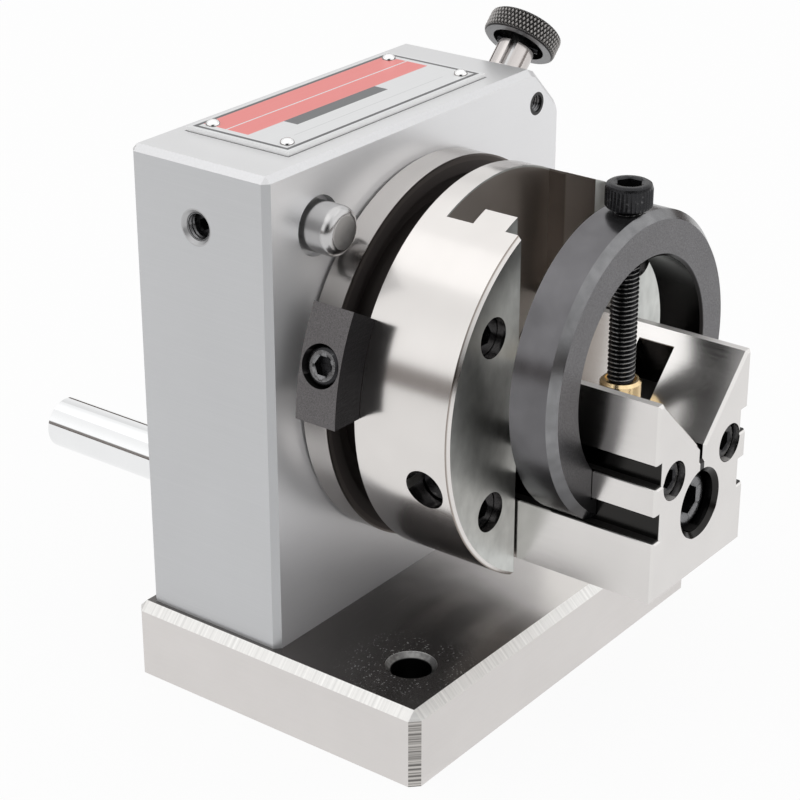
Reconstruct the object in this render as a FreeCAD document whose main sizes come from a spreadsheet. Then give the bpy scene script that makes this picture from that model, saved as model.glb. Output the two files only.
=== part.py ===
import FreeCAD, Part
import Sketcher
import math
import os

# Bench punch former: a body on a ground base carries a horizontal spindle. The spindle's
# head holds a V-block in a T-slot, a C-shaped ring with a screw clamps the work in the
# V, a spring plunger indexes the spindle, and a dog on the head meets a stop pin.
#
# Millimetres. X is across, Y goes from front to back and Z up. The origin is the middle
# of the base's underside. Most pieces are drawn in the front frame: its x is across, its
# y is the rise above the spindle axis and its z is the distance in front of the body's
# front face.

Vector = FreeCAD.Vector
doc = FreeCAD.newDocument("punch_former")
sheet = doc.addObject("Spreadsheet::Sheet", "Sizes")


class Size:
    """A number together with the expression that gives it from the sheet."""

    def __init__(self, value, text):
        self.value = value
        self.text = text

    def __add__(self, other):
        other = as_size(other)
        return Size(self.value + other.value, "(%s + %s)" % (self.text, other.text))

    def __sub__(self, other):
        other = as_size(other)
        return Size(self.value - other.value, "(%s - %s)" % (self.text, other.text))

    def __mul__(self, other):
        other = as_size(other)
        return Size(self.value * other.value, "(%s * %s)" % (self.text, other.text))

    def __truediv__(self, other):
        other = as_size(other)
        return Size(self.value / other.value, "(%s / %s)" % (self.text, other.text))

    def __radd__(self, other):
        return as_size(other) + self

    def __rsub__(self, other):
        return as_size(other) - self

    def __rmul__(self, other):
        return as_size(other) * self

    def __neg__(self):
        return Size(-self.value, "(0 - %s)" % self.text)


def as_size(number):
    return number if isinstance(number, Size) else Size(float(number), "(%s)" % float(number))


def root(size):
    return Size(math.sqrt(size.value), "sqrt(%s)" % size.text)


def cosine(size):
    return Size(math.cos(math.radians(size.value)), "cos(%s)" % size.text)


def sine(size):
    return Size(math.sin(math.radians(size.value)), "sin(%s)" % size.text)


rows = []


def driving(name, value):
    """Writes one driving dimension into the sheet and returns it as a Size."""
    rows.append(name)
    row = len(rows)
    sheet.set("A%d" % row, name)
    sheet.set("B%d" % row, str(value))
    sheet.setAlias("B%d" % row, name)
    return Size(float(value), "Sizes.%s" % name)


# Clearances
running = 0.05
slide_play = 0.1
seat_gap = 0.1
thread_gap = 0.05
head_gap = 0.2

# Base plate
base_width = 111
base_depth = 80.3
base_thickness = 18.3
base_chamfer = 2
base_hole_side = 16.1
base_hole_front = 13.4
base_hole = 9
base_sink = 11.4

# Body
body_left = 52.5
body_right = 53.9
body_depth = 37.6
body_top = 52.5
body_setback = 2.6
body_chamfer = 1.4
corner_chamfer = 10.9
axis_height = 75
body_screw_side = 42
body_screw_edge = 8.5
body_screw_reach = 12
dowel_side = 26
dowel_diameter = 6
dowel_length = 20

# Spindle and head
face_gap = 0.4
head_diameter = 87.6
head_reach = 39.15
head_chamfer = 0.8
rim_thickness = 7
groove_width = 7.7
groove_lip = 4
groove_undercut = 2.2
groove_pocket = 4.5
hub_diameter = 62
journal_diameter = 40
tail_diameter = 22
tail_thread = 20
tail_length = 21

# T-slot across the head
slot_width = 38.2
slot_depth = 18.8
neck_width = 29.4
keeper_thickness = 12
recess_depth = 3.95
keeper_screw_side = 28.3
keeper_screw_rise = 20
keeper_screw_sink = 7.2
keeper_screw_reach = 8
side_screw_drop = 11.2
side_screw_setback = 6.9
side_screw_seat = 31.6

# Index ring, bush and rear end
index_setback = 7.5
index_thickness = 9.4
index_diameter = 76
index_bore = 44
notch_count = 24
notch_depth = 4.6
notch_mouth = 6.2
notch_floor = 3.6
index_screw_radius = 26.5
index_screw_reach = 6
cavity_gap = 1.5
bush_wall = 5
bush_flange = 5
bush_flange_thickness = 1.8
bush_end_play = 0.3
washer_gap = 0.15
washer_thickness = 1.9
washer_diameter = 46

# Crank
arm_thickness = 5
arm_hub = 31
arm_end = 13
arm_radius = 47.3
arm_angle = 218.2
key_width = 5
key_height = 4
rod_diameter = 12
rod_length = 34
rod_stud = 8
rod_chamfer = 0.8
nut_flats = 30
nut_thickness = 9

# Stop dog and stop pin
dog_height = 8.2
dog_width = 10.4
dog_span = 28
dog_angle = 164.5
dog_tongue = 2.6
dog_sink = 5.4
dog_sink_diameter = 9.4
nut_span = 20
stop_radius = 52.4
stop_angle = 133.7
stop_diameter = 11
stop_tip = 7.4
stop_taper = 1.6
stop_reach = 7
stop_length = 32
stop_mouth = 13.2
stop_mouth_depth = 2
lock_screw_setback = 19.4
lock_screw_length = 8
lock_sink = 7.7

# V-block and slide
block_width = 37
block_nose = 34.25
block_top = 10.4
block_bottom = -35.1
block_chamfer = 0.6
v_bottom = -6.3
v_relief_width = 1.6
v_relief_depth = 2.3
side_groove_depth = 2.4
side_groove_mouth = 0.4
upper_groove_top = -2.9
upper_groove_bottom = -8.6
lower_groove_top = -14.6
lower_groove_bottom = -21.2
pad_pocket_width = 8.8
pad_pocket_length = 28.6
pad_pocket_floor = -1.5
block_screw_side = 11.3
block_screw_rise = -8.9
block_screw_sink = 6.4
clamp_bolt_rise = -18.7
clamp_bolt_sink = 10.5
clamp_bolt_mouth = 16
clamp_bolt_mouth_depth = 1.2

# Clamp ring, screw and pad
ring_bottom = -25.8
ring_distance = 8.1
ring_thickness = 10.65
ring_outer = 68
ring_inner = 48.4
ring_chamfer = 1.8
ring_inner_chamfer = 0.6
hook_play = 0.2
screw_lift = 1.1
screw_nose_rise = 1.3
screw_head_height = 5.3
pad_diameter = 9
pad_height = 5.2
pad_socket = 2.6
pad_rim = 0.8
pad_recess = 6.8
screw_nose = 4.2

# Index plunger
sleeve_diameter = 9
sleeve_proud = 7.7
sleeve_depth = 10.6
sleeve_slot = 1.9
sleeve_slot_depth = 7
sleeve_slot_angle = 19
stem_diameter = 5.4
plunger_lift = 3.4
plunger_nose = 7.5
plunger_taper = 4.6
plunger_tip = 3.4
spring_washer_thickness = 0.6
spring_wire = 0.8
spring_turns = 4
spring_gap = 0.25
cross_pin_diameter = 1.6
cross_pin_length = 10.4
knob_diameter = 18
knob_height = 5.1
knob_chamfer = 0.3
knob_distance = 8.4
knob_sink = 12.8
knob_sink_depth = 3
knob_roof = 1.4
set_screw_length = 5

# Name plate
plate_length = 69.5
plate_width = 28
plate_thickness = 1
plate_shift = -4.1
plate_setback = 5.5
rivet_from_end = 4.3
rivet_from_side = 3.9
rivet_head = 3.6
rivet_crown = 1.2
rivet_shank = 1.8
rivet_depth = 5


# Each number above goes into the sheet, under its own name
for name, value in list(globals().items()):
    if isinstance(value, (int, float)):
        globals()[name] = driving(name, value)


class Metric:
    """One size of socket screw: its thread, its head and the key that turns it."""

    def __init__(self, word, thread, head, key):
        self.thread = driving(word + "_thread", thread)
        self.head = driving(word + "_head", head)
        self.key = driving(word + "_key", key)


four = Metric("small", 4, 7, 3)
five = Metric("medium", 5, 8.5, 4)
six = Metric("large", 6, 10, 5)
eight = Metric("largest", 8, 13, 6)
doc.recompute()

# Places worked out from the driving dimensions
body_height = axis_height + body_top - base_thickness
body_bottom = base_thickness - axis_height
face_y = base_depth / 2 - body_setback - body_depth
head_radius = head_diameter / 2
rim_front = face_gap + rim_thickness
groove_front = rim_front + groove_width
groove_middle = rim_front + groove_width / 2
keeper_rear = head_reach - keeper_thickness
slot_rear = head_reach - slot_depth
recess_floor = head_reach - recess_depth
plunger_setback = index_setback + index_thickness / 2
cavity_depth = index_setback + index_thickness + bush_end_play + bush_flange_thickness
groove_pocket_top = head_radius - groove_lip
groove_floor = groove_pocket_top - groove_pocket
chamfer_distance = (body_right - corner_chamfer + body_top) / math.sqrt(2)
washer_front = body_depth + washer_gap
arm_front = washer_front + washer_thickness
arm_rear = arm_front + arm_thickness
stop_x = stop_radius * cosine(stop_angle)
stop_rise = stop_radius * sine(stop_angle)
tongue_half = neck_width / 2 - slide_play
block_front = head_reach + block_nose
ring_rise = ring_bottom + ring_outer / 2
ring_middle = head_reach + ring_distance + ring_thickness / 2


def bind(thing, prop, size):
    """Ties a property of a thing to the size's expression."""
    thing.setExpression(prop, as_size(size).text)


FORWARD = FreeCAD.Rotation(Vector(1, 0, 0), 90)
UPRIGHT = FreeCAD.Rotation()
ALONG_X = FreeCAD.Rotation(Vector(0, 1, 0), 90)
ALONG_Y = FreeCAD.Rotation(Vector(1, 0, 0), -90)
HALF_RIGHT = FreeCAD.Rotation(Vector(0, 1, 0), 45)
LEFTWARD = FreeCAD.Rotation(Vector(0, 1, 0), -90)
DOWNWARD = FreeCAD.Rotation(Vector(1, 0, 0), 180)


def put(thing, x, y, z, rotation=UPRIGHT):
    """Places a thing by its origin's coordinates in the document's frame."""
    thing.Placement = FreeCAD.Placement(Vector(0, 0, 0), rotation)
    bind(thing, "Placement.Base.x", x)
    bind(thing, "Placement.Base.y", y)
    bind(thing, "Placement.Base.z", z)
    return thing


def seat(thing, x=0, rise=0, forward=0, turn=UPRIGHT):
    """Places a thing drawn in the front frame, turned first by turn in that frame."""
    return put(thing, x, face_y - forward, axis_height + rise, FORWARD.multiply(turn))


def new_body(label):
    return doc.addObject("PartDesign::Body", label)


def plane_of(body, role):
    return [item for item in body.Origin.OriginFeatures if item.Role == role][0]


def new_sketch(body, level, role="XY_Plane"):
    """A sketch on one of the body's own planes, moved along the plane's normal to level."""
    sketch = body.newObject("Sketcher::SketchObject", body.Name + "_sketch")
    sketch.AttachmentSupport = (plane_of(body, role), [""])
    sketch.MapMode = "FlatFace"
    bind(sketch, "AttachmentOffset.Base.z", level)
    return sketch


def fix_point(sketch, line, point, x, y):
    """Holds a point of a sketch at x, y measured from the sketch's origin."""
    for direction, size, axis in (("DistanceX", as_size(x), -2), ("DistanceY", as_size(y), -1)):
        if size.value == 0:
            sketch.addConstraint(Sketcher.Constraint("PointOnObject", line, point, axis))
            continue
        rule = Sketcher.Constraint(direction, -1, 1, line, point, size.value)
        bind(sketch, "Constraints[%d]" % sketch.addConstraint(rule), size)


def polygon(sketch, corners):
    """Draws a closed outline through corners, each held by its two distances."""
    spots = [Vector(as_size(x).value, as_size(y).value, 0) for x, y in corners]
    first = sketch.GeometryCount
    count = len(spots)
    for index in range(count):
        sketch.addGeometry(Part.LineSegment(spots[index], spots[(index + 1) % count]))
    for index in range(count):
        after = first + (index + 1) % count
        sketch.addConstraint(Sketcher.Constraint("Coincident", first + index, 2, after, 1))
    for index, (x, y) in enumerate(corners):
        fix_point(sketch, first + index, 1, x, y)


def circle(sketch, x, y, radius):
    centre = Vector(as_size(x).value, as_size(y).value, 0)
    line = sketch.addGeometry(Part.Circle(centre, Vector(0, 0, 1), as_size(radius).value))
    fix_point(sketch, line, 3, x, y)
    rule = Sketcher.Constraint("Radius", line, as_size(radius).value)
    bind(sketch, "Constraints[%d]" % sketch.addConstraint(rule), radius)


def rectangle(sketch, left, right, low, high):
    polygon(sketch, [(left, low), (right, low), (right, high), (left, high)])


def mirrored(corners):
    """Completes the right half of an outline, listed from bottom to top, with its left half."""
    left = [(-as_size(x), y) for x, y in reversed(corners) if as_size(x).value != 0]
    return corners + left


def pad(body, sketch, length, backward=False):
    feature = body.newObject("PartDesign::Pad", body.Name + "_pad")
    feature.Profile = sketch
    bind(feature, "Length", length)
    feature.Reversed = backward
    return feature


def pocket(body, sketch, depth):
    """Cuts a sketch away from its level towards the body's back."""
    feature = body.newObject("PartDesign::Pocket", body.Name + "_pocket")
    feature.Profile = sketch
    bind(feature, "Length", depth)
    return feature


def turned(label, corners):
    """A turned piece: corners are (radius, height) round its own upright axis."""
    body = new_body(label)
    sketch = new_sketch(body, 0, "XZ_Plane")
    polygon(sketch, corners)
    feature = body.newObject("PartDesign::Revolution", label + "_turning")
    feature.Profile = sketch
    feature.ReferenceAxis = (sketch, ["V_Axis"])
    feature.Angle = 360
    return body


def bevel(body, size, chosen):
    """Chamfers the edges of the body's last feature for which chosen(edge) is true."""
    doc.recompute()
    last = body.Tip
    names = ["Edge%d" % (index + 1) for index, edge in enumerate(last.Shape.Edges) if chosen(edge)]
    feature = body.newObject("PartDesign::Chamfer", body.Name + "_bevel")
    feature.Base = (last, names)
    bind(feature, "Size", size)
    return feature


def near(number, size):
    return abs(number - as_size(size).value) < 1e-4


def cylinder(name, diameter, length, x=0, y=0, z=0, rotation=UPRIGHT):
    thing = doc.addObject("Part::Cylinder", name)
    bind(thing, "Radius", as_size(diameter) / 2)
    bind(thing, "Height", length)
    return put(thing, x, y, z, rotation)


def cone(name, low_diameter, high_diameter, length, x=0, y=0, z=0, rotation=UPRIGHT):
    thing = doc.addObject("Part::Cone", name)
    bind(thing, "Radius1", as_size(low_diameter) / 2)
    bind(thing, "Radius2", as_size(high_diameter) / 2)
    bind(thing, "Height", length)
    return put(thing, x, y, z, rotation)


def block(name, x_size, y_size, z_size, x, y, z, rotation=UPRIGHT):
    """A box whose x, y, z is its low corner before any rotation."""
    thing = doc.addObject("Part::Box", name)
    bind(thing, "Length", x_size)
    bind(thing, "Width", y_size)
    bind(thing, "Height", z_size)
    return put(thing, x, y, z, rotation)


def joined(name, pieces):
    if len(pieces) == 1:
        return pieces[0]
    thing = doc.addObject("Part::MultiFuse", name)
    thing.Shapes = pieces
    return thing


def cut(label, base, tools):
    thing = doc.addObject("Part::Cut", label)
    thing.Base = base
    thing.Tool = joined(label + "_tools", tools)
    return thing


def group(label, pieces):
    thing = doc.addObject("Part::Compound", label)
    thing.Links = pieces
    return thing


def cap_screw(label, metric, length, head_height=None):
    """A socket screw along z: the head's underside is at z 0 and its shank goes down."""
    height = head_height or metric.thread
    head = cylinder(label + "_head", metric.head, height)
    shank = cylinder(label + "_shank", metric.thread, length, z=-as_size(length))
    socket = doc.addObject("Part::Prism", label + "_socket")
    socket.Polygon = 6
    bind(socket, "Circumradius", metric.key / math.sqrt(3))
    bind(socket, "Height", height)
    put(socket, 0, 0, height / 2)
    return cut(label, joined(label + "_blank", [head, shank]), [socket])


def set_screw(label, metric, length):
    """A headless screw along z, with its tip at z 0 and its socket at the far end."""
    blank = cylinder(label + "_blank", metric.thread, length)
    socket = doc.addObject("Part::Prism", label + "_socket")
    socket.Polygon = 6
    bind(socket, "Circumradius", metric.key / (2 * math.sqrt(3)))
    bind(socket, "Height", metric.thread)
    put(socket, 0, 0, as_size(length) - metric.thread / 2)
    return cut(label, blank, [socket])


def make_base():
    blank = new_body("base_blank")
    outline = new_sketch(blank, 0)
    rectangle(outline, -base_width / 2, base_width / 2, -base_depth / 2, base_depth / 2)
    pad(blank, outline, base_thickness)

    def upright_or_top(edge):
        middle = edge.CenterOfMass
        return near(middle.z, base_thickness) or near(middle.z, base_thickness / 2)

    bevel(blank, base_chamfer, upright_or_top)
    tools = []
    hole_x = base_width / 2 - base_hole_side
    hole_y = base_hole_front - base_depth / 2
    sink_depth = (base_sink - base_hole) / 2
    for side in (-1, 1):
        tools.append(cylinder("base_hole", base_hole, base_thickness, side * hole_x, hole_y))
        tools.append(cone("base_sink", base_hole, base_sink, sink_depth, side * hole_x, hole_y,
                          base_thickness - sink_depth))
        for y in body_screw_rows():
            x = side * body_screw_side
            tools.append(cylinder("base_screw_hole", six.thread + 2 * head_gap, base_thickness,
                                  x, y))
            tools.append(cylinder("base_screw_sink", six.head + 2 * head_gap,
                                  six.thread + head_gap, x, y))
        tools.append(cylinder("base_dowel_hole", dowel_diameter + 2 * thread_gap, dowel_length,
                              side * dowel_side, dowel_row(), dowel_start()))
    return cut("base_plate", blank, tools)


def body_screw_rows():
    return (face_y + body_screw_edge, face_y + body_depth - body_screw_edge)


def dowel_row():
    return face_y + body_depth / 2


def dowel_start():
    return base_thickness - dowel_length / 2


def make_body():
    blank = new_body("body_blank")
    outline = new_sketch(blank, 0)
    polygon(outline, [(-body_left, body_bottom), (body_right, body_bottom),
                      (body_right, body_top - corner_chamfer),
                      (body_right - corner_chamfer, body_top), (-body_left, body_top)])
    pad(blank, outline, body_depth, backward=True)
    bottom = body_bottom.value

    def outer_edge(edge):
        return edge.CenterOfMass.y > bottom + 1

    bevel(blank, body_chamfer, outer_edge)
    seat(blank)
    cavity = index_diameter + 2 * cavity_gap
    bore = journal_diameter + 2 * bush_wall
    tools = [
        cylinder("cavity", cavity, cavity_depth, 0, face_y, axis_height, ALONG_Y),
        cylinder("bush_bore", bore, body_depth, 0, face_y, axis_height, ALONG_Y),
        cylinder("stop_bore", stop_diameter + 2 * running, body_depth, stop_x, face_y,
                 axis_height + stop_rise, ALONG_Y),
        cylinder("stop_mouth", stop_mouth, stop_mouth_depth, stop_x, face_y,
                 axis_height + stop_rise, ALONG_Y),
        cylinder("lock_hole", six.thread + 2 * thread_gap, body_left + stop_x, -body_left,
                 face_y + lock_screw_setback, axis_height + stop_rise, ALONG_X),
        cone("lock_sink", lock_sink, six.thread, (lock_sink - six.thread) / 2, -body_left,
             face_y + lock_screw_setback, axis_height + stop_rise, ALONG_X),
        cylinder("set_hole", four.thread + 2 * thread_gap, plunger_setback, set_screw_spot(),
                 face_y, axis_height + set_screw_spot(), ALONG_Y),
        cylinder("plunger_bore", sleeve_diameter + 2 * running, chamfer_distance, 0,
                 face_y + plunger_setback, axis_height, HALF_RIGHT),
    ]
    for side in (-1, 1):
        for y in body_screw_rows():
            tools.append(cylinder("body_screw_hole", six.thread + 2 * thread_gap,
                                  body_screw_reach + 1, side * body_screw_side, y, base_thickness))
        tools.append(cylinder("body_dowel_hole", dowel_diameter + 2 * thread_gap,
                              dowel_length / 2 + 1, side * dowel_side, dowel_row(),
                              base_thickness))
    for x, y in rivet_spots():
        tools.append(cylinder("rivet_hole", rivet_shank + 2 * thread_gap, rivet_depth + 0.5, x, y,
                              axis_height + body_top - rivet_depth - 0.5))
    return cut("body", blank, tools)


def set_screw_spot():
    """How far across, and above the axis, the set screw meets the sleeve."""
    return (chamfer_distance - sleeve_depth / 2) / math.sqrt(2)


def make_body_fasteners():
    screws = []
    length = base_thickness - six.thread + body_screw_reach
    for side in (-1, 1):
        for y in body_screw_rows():
            screw = cap_screw("body_screw", six, length)
            put(screw, side * body_screw_side, y, six.thread, DOWNWARD)
            screws.append(screw)
    group("body_screws", screws)
    dowels = [cylinder("dowel", dowel_diameter, dowel_length, side * dowel_side, dowel_row(),
                       dowel_start()) for side in (-1, 1)]
    group("body_dowels", dowels)


def rivet_spots():
    middle = face_y + plate_setback + plate_width / 2
    along = plate_length / 2 - rivet_from_end
    back = plate_width / 2 - rivet_from_side
    return [(plate_shift + sx * along, middle + sy * back) for sx in (-1, 1) for sy in (-1, 1)]


def make_name_plate():
    top = axis_height + body_top
    blank = block("name_plate_blank", plate_length, plate_width, plate_thickness,
                  plate_shift - plate_length / 2, face_y + plate_setback, top)
    holes = [cylinder("plate_hole", rivet_shank + 2 * thread_gap, plate_thickness, x, y, top)
             for x, y in rivet_spots()]
    cut("name_plate", blank, holes)
    rivets = []
    for x, y in rivet_spots():
        rivet = turned("rivet", [(0, -rivet_depth), (rivet_shank / 2, -rivet_depth),
                                 (rivet_shank / 2, plate_thickness),
                                 (rivet_head / 2, plate_thickness),
                                 (rivet_head / 2, plate_thickness + rivet_crown * 0.35),
                                 (rivet_head * 0.33, plate_thickness + rivet_crown * 0.85),
                                 (0, plate_thickness + rivet_crown)])
        put(rivet, x, y, top)
        rivets.append(rivet)
    group("name_plate_rivets", rivets)


def make_spindle():
    """The spindle, its T-grooved head and the milled head of the T-slot, in one piece."""
    undercut_rear = rim_front - groove_undercut
    undercut_front = groove_front + groove_undercut
    blank = turned("spindle_blank", [
        (0, -(arm_front + tail_length)),
        (tail_thread / 2 - 1, -(arm_front + tail_length)),
        (tail_thread / 2, -(arm_front + tail_length - 1)),
        (tail_thread / 2, -arm_rear),
        (tail_diameter / 2, -arm_rear),
        (tail_diameter / 2, -body_depth),
        (journal_diameter / 2, -body_depth),
        (journal_diameter / 2, -(index_setback + index_thickness)),
        (index_bore / 2 - thread_gap, -(index_setback + index_thickness)),
        (index_bore / 2 - thread_gap, -index_setback),
        (hub_diameter / 2, -index_setback),
        (hub_diameter / 2, face_gap),
        (head_radius - head_chamfer, face_gap),
        (head_radius, face_gap + head_chamfer),
        (head_radius, rim_front),
        (groove_pocket_top, rim_front),
        (groove_pocket_top, undercut_rear),
        (groove_floor, undercut_rear),
        (groove_floor, undercut_front),
        (groove_pocket_top, undercut_front),
        (groove_pocket_top, groove_front),
        (head_radius, groove_front),
        (head_radius, keeper_rear),
        (0, keeper_rear),
    ])
    seat(blank)
    slot = block("slot_cut", slot_width, keeper_rear - slot_rear, head_diameter,
                 -slot_width / 2, face_y - keeper_rear, axis_height - head_radius)
    tools = [slot]
    for x, rise in keeper_screw_spots():
        tools.append(cylinder("keeper_thread", five.thread + 2 * thread_gap, keeper_screw_reach,
                              x, face_y - keeper_rear, axis_height + rise, ALONG_Y))
    for x, rise in index_screw_spots():
        depth = index_screw_reach + 0.5
        tools.append(cylinder("index_thread", four.thread + 2 * thread_gap, depth, x,
                              face_y + index_setback - depth, axis_height + rise, ALONG_Y))
    keyway = block("keyway", key_width, arm_thickness, key_height / 2,
                   -key_width / 2, face_y + arm_front,
                   axis_height + tail_diameter / 2 - key_height / 2)
    tools.append(keyway)
    return cut("spindle", blank, tools)


def keeper_screw_spots():
    return [(sx * keeper_screw_side, sy * keeper_screw_rise) for sx in (-1, 1) for sy in (-1, 1)]


def index_screw_spots():
    angles = (90, 210, 330)
    return [(index_screw_radius * math.cos(math.radians(angle)),
             index_screw_radius * math.sin(math.radians(angle))) for angle in angles]


def make_keepers():
    """The two front segments that close the T-slot down to its neck."""
    for side, word in ((-1, "left"), (1, "right")):
        rim = cylinder("keeper_rim", head_diameter, keeper_thickness, 0, face_y - keeper_rear,
                       axis_height, FORWARD)
        edge = cone("keeper_edge", head_diameter, head_diameter - 2 * head_chamfer, head_chamfer,
                    0, face_y - head_reach + head_chamfer, axis_height, FORWARD)
        waste = cylinder("keeper_waste", head_diameter + 2, head_chamfer, 0,
                         face_y - head_reach + head_chamfer, axis_height, FORWARD)
        collar = cut("keeper_collar", waste, [edge])
        away = block("keeper_far_side", head_diameter, keeper_thickness, head_diameter,
                     side * neck_width / 2 - (0 if side < 0 else 1) * head_diameter,
                     face_y - head_reach, axis_height - head_radius)
        recess = block("keeper_recess", slot_width, recess_depth, head_diameter,
                       -slot_width / 2, face_y - head_reach, axis_height - head_radius)
        tools = [collar, away, recess]
        for x, rise in keeper_screw_spots():
            if x.value * side > 0:
                tools.append(cylinder("keeper_hole", five.thread + 2 * head_gap, keeper_thickness,
                                      x, face_y - head_reach, axis_height + rise, ALONG_Y))
                tools.append(cylinder("keeper_sink", five.head + 2 * head_gap, keeper_screw_sink,
                                      x, face_y - head_reach, axis_height + rise, ALONG_Y))
        if side < 0:
            y = face_y - head_reach + side_screw_setback
            rise = axis_height - side_screw_drop
            tools.append(cylinder("side_hole", five.thread + 2 * thread_gap,
                                  head_radius, -head_radius, y, rise, ALONG_X))
            tools.append(cylinder("side_sink", five.head + 4 * head_gap,
                                  head_radius - side_screw_seat, -head_radius, y, rise, ALONG_X))
        cut("slot_keeper_" + word, rim, tools)
    screws = []
    for x, rise in keeper_screw_spots():
        screw = cap_screw("keeper_screw", five, keeper_thickness - keeper_screw_sink
                          + keeper_screw_reach - 0.5)
        screws.append(seat(screw, x, rise, head_reach - keeper_screw_sink))
    group("keeper_screws", screws)
    reach = side_screw_seat - neck_width / 2 - running
    screw = cap_screw("slide_side_screw", five, reach)
    put(screw, -side_screw_seat, face_y - head_reach + side_screw_setback,
        axis_height - side_screw_drop, LEFTWARD)


def make_index_ring():
    ring = new_body("index_blank")
    outline = new_sketch(ring, -(index_setback + index_thickness))
    circle(outline, 0, 0, index_diameter / 2)
    circle(outline, 0, 0, index_bore / 2)
    pad(ring, outline, index_thickness)
    notch = new_sketch(ring, -index_setback)
    top = index_diameter / 2 + 1
    floor = index_diameter / 2 - notch_depth
    flare = (notch_mouth - notch_floor) / (2 * notch_depth)
    polygon(notch, [(-notch_floor / 2, floor), (notch_floor / 2, floor),
                    (notch_mouth / 2 + flare, top), (-notch_mouth / 2 - flare, top)])
    tooth = pocket(ring, notch, index_thickness)
    pattern = ring.newObject("PartDesign::PolarPattern", "notches")
    pattern.Originals = [tooth]
    pattern.Axis = (notch, ["N_Axis"])
    pattern.Angle = 360
    bind(pattern, "Occurrences", notch_count)
    ring.Tip = pattern
    seat(ring, turn=FreeCAD.Rotation(Vector(0, 0, 1), 45))
    tools = []
    screws = []
    sink = four.thread + head_gap
    rear = index_setback + index_thickness
    for x, rise in index_screw_spots():
        tools.append(cylinder("index_hole", four.thread + 2 * head_gap, index_thickness, x,
                              face_y + index_setback, axis_height + rise, ALONG_Y))
        tools.append(cylinder("index_sink", four.head + 2 * head_gap, sink, x,
                              face_y + rear - sink, axis_height + rise, ALONG_Y))
        screw = cap_screw("index_ring_screw", four, index_thickness - sink + index_screw_reach)
        put(screw, x, face_y + rear - sink, axis_height + rise, ALONG_Y)
        screws.append(screw)
    cut("index_ring", ring, tools)
    group("index_ring_screws", screws)


def make_bush_and_washer():
    inner = journal_diameter / 2 + running
    outer = journal_diameter / 2 + bush_wall
    flange_front = -(cavity_depth - bush_flange_thickness)
    seat(turned("spindle_bush", [
        (inner, -body_depth), (outer, -body_depth), (outer, -cavity_depth),
        (outer + bush_flange, -cavity_depth), (outer + bush_flange, flange_front),
        (inner, flange_front)]))
    hole = tail_diameter / 2 + running
    seat(turned("thrust_washer", [
        (hole, -arm_front), (washer_diameter / 2, -arm_front),
        (washer_diameter / 2, -washer_front), (hole, -washer_front)]))


def make_crank():
    """A lever with round ends joined by their tangent lines, its key, rod and nut."""
    arm = new_body("crank_blank")
    outline = new_sketch(arm, -arm_front)
    circle(outline, 0, 0, arm_hub / 2)
    pad(arm, outline, arm_thickness, backward=True)
    lean = (arm_hub / 2 - arm_end / 2) / arm_radius
    reach = root(1 - lean * lean)
    web = new_sketch(arm, -arm_front)
    polygon(web, [(arm_hub / 2 * lean, -arm_hub / 2 * reach),
                  (arm_radius + arm_end / 2 * lean, -arm_end / 2 * reach),
                  (arm_radius + arm_end / 2 * lean, arm_end / 2 * reach),
                  (arm_hub / 2 * lean, arm_hub / 2 * reach)])
    pad(arm, web, arm_thickness, backward=True)
    end = new_sketch(arm, -arm_front)
    circle(end, arm_radius, 0, arm_end / 2)
    pad(arm, end, arm_thickness, backward=True)
    seat(arm, turn=FreeCAD.Rotation(Vector(0, 0, 1), arm_angle.value))
    rod_x = arm_radius * cosine(arm_angle)
    rod_rise = arm_radius * sine(arm_angle)
    keyway_top = tail_diameter / 2 + key_height / 2
    tools = [
        cylinder("arm_bore", tail_diameter + 2 * running, arm_thickness, 0, face_y + arm_front,
                 axis_height, ALONG_Y),
        cylinder("arm_rod_hole", rod_stud + 2 * thread_gap, arm_thickness, rod_x,
                 face_y + arm_front, axis_height + rod_rise, ALONG_Y),
        block("arm_keyway", key_width, arm_thickness, keyway_top, -key_width / 2,
              face_y + arm_front, axis_height),
    ]
    cut("crank_arm", arm, tools)
    block("crank_key", key_width, arm_thickness, key_height, -key_width / 2, face_y + arm_front,
          axis_height + tail_diameter / 2 - key_height / 2)
    rod = turned("crank_rod", [
        (0, -arm_thickness), (rod_stud / 2, -arm_thickness), (rod_stud / 2, 0),
        (rod_diameter / 2, 0), (rod_diameter / 2, rod_length - rod_chamfer),
        (rod_diameter / 2 - rod_chamfer, rod_length), (0, rod_length)])
    put(rod, rod_x, face_y + arm_rear, axis_height + rod_rise, ALONG_Y)
    nut = new_body("spindle_nut")
    hexagon = new_sketch(nut, 0)
    corner = nut_flats / math.sqrt(3)
    polygon(hexagon, [(corner * math.cos(math.radians(60 * step)),
                       corner * math.sin(math.radians(60 * step))) for step in range(6)])
    circle(hexagon, 0, 0, tail_thread / 2 + thread_gap)
    pad(nut, hexagon, nut_thickness)
    put(nut, 0, face_y + arm_rear, axis_height, ALONG_Y)


def sector(name, radius, span, middle, width, centre):
    """A wedge of a disc about the spindle axis, width thick about the distance centre."""
    thing = doc.addObject("Part::Cylinder", name)
    bind(thing, "Radius", radius)
    bind(thing, "Height", width)
    bind(thing, "Angle", span)
    start = FreeCAD.Rotation(Vector(0, 0, 1), middle.value - span.value / 2)
    return seat(thing, 0, 0, centre - width / 2, start)


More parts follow.
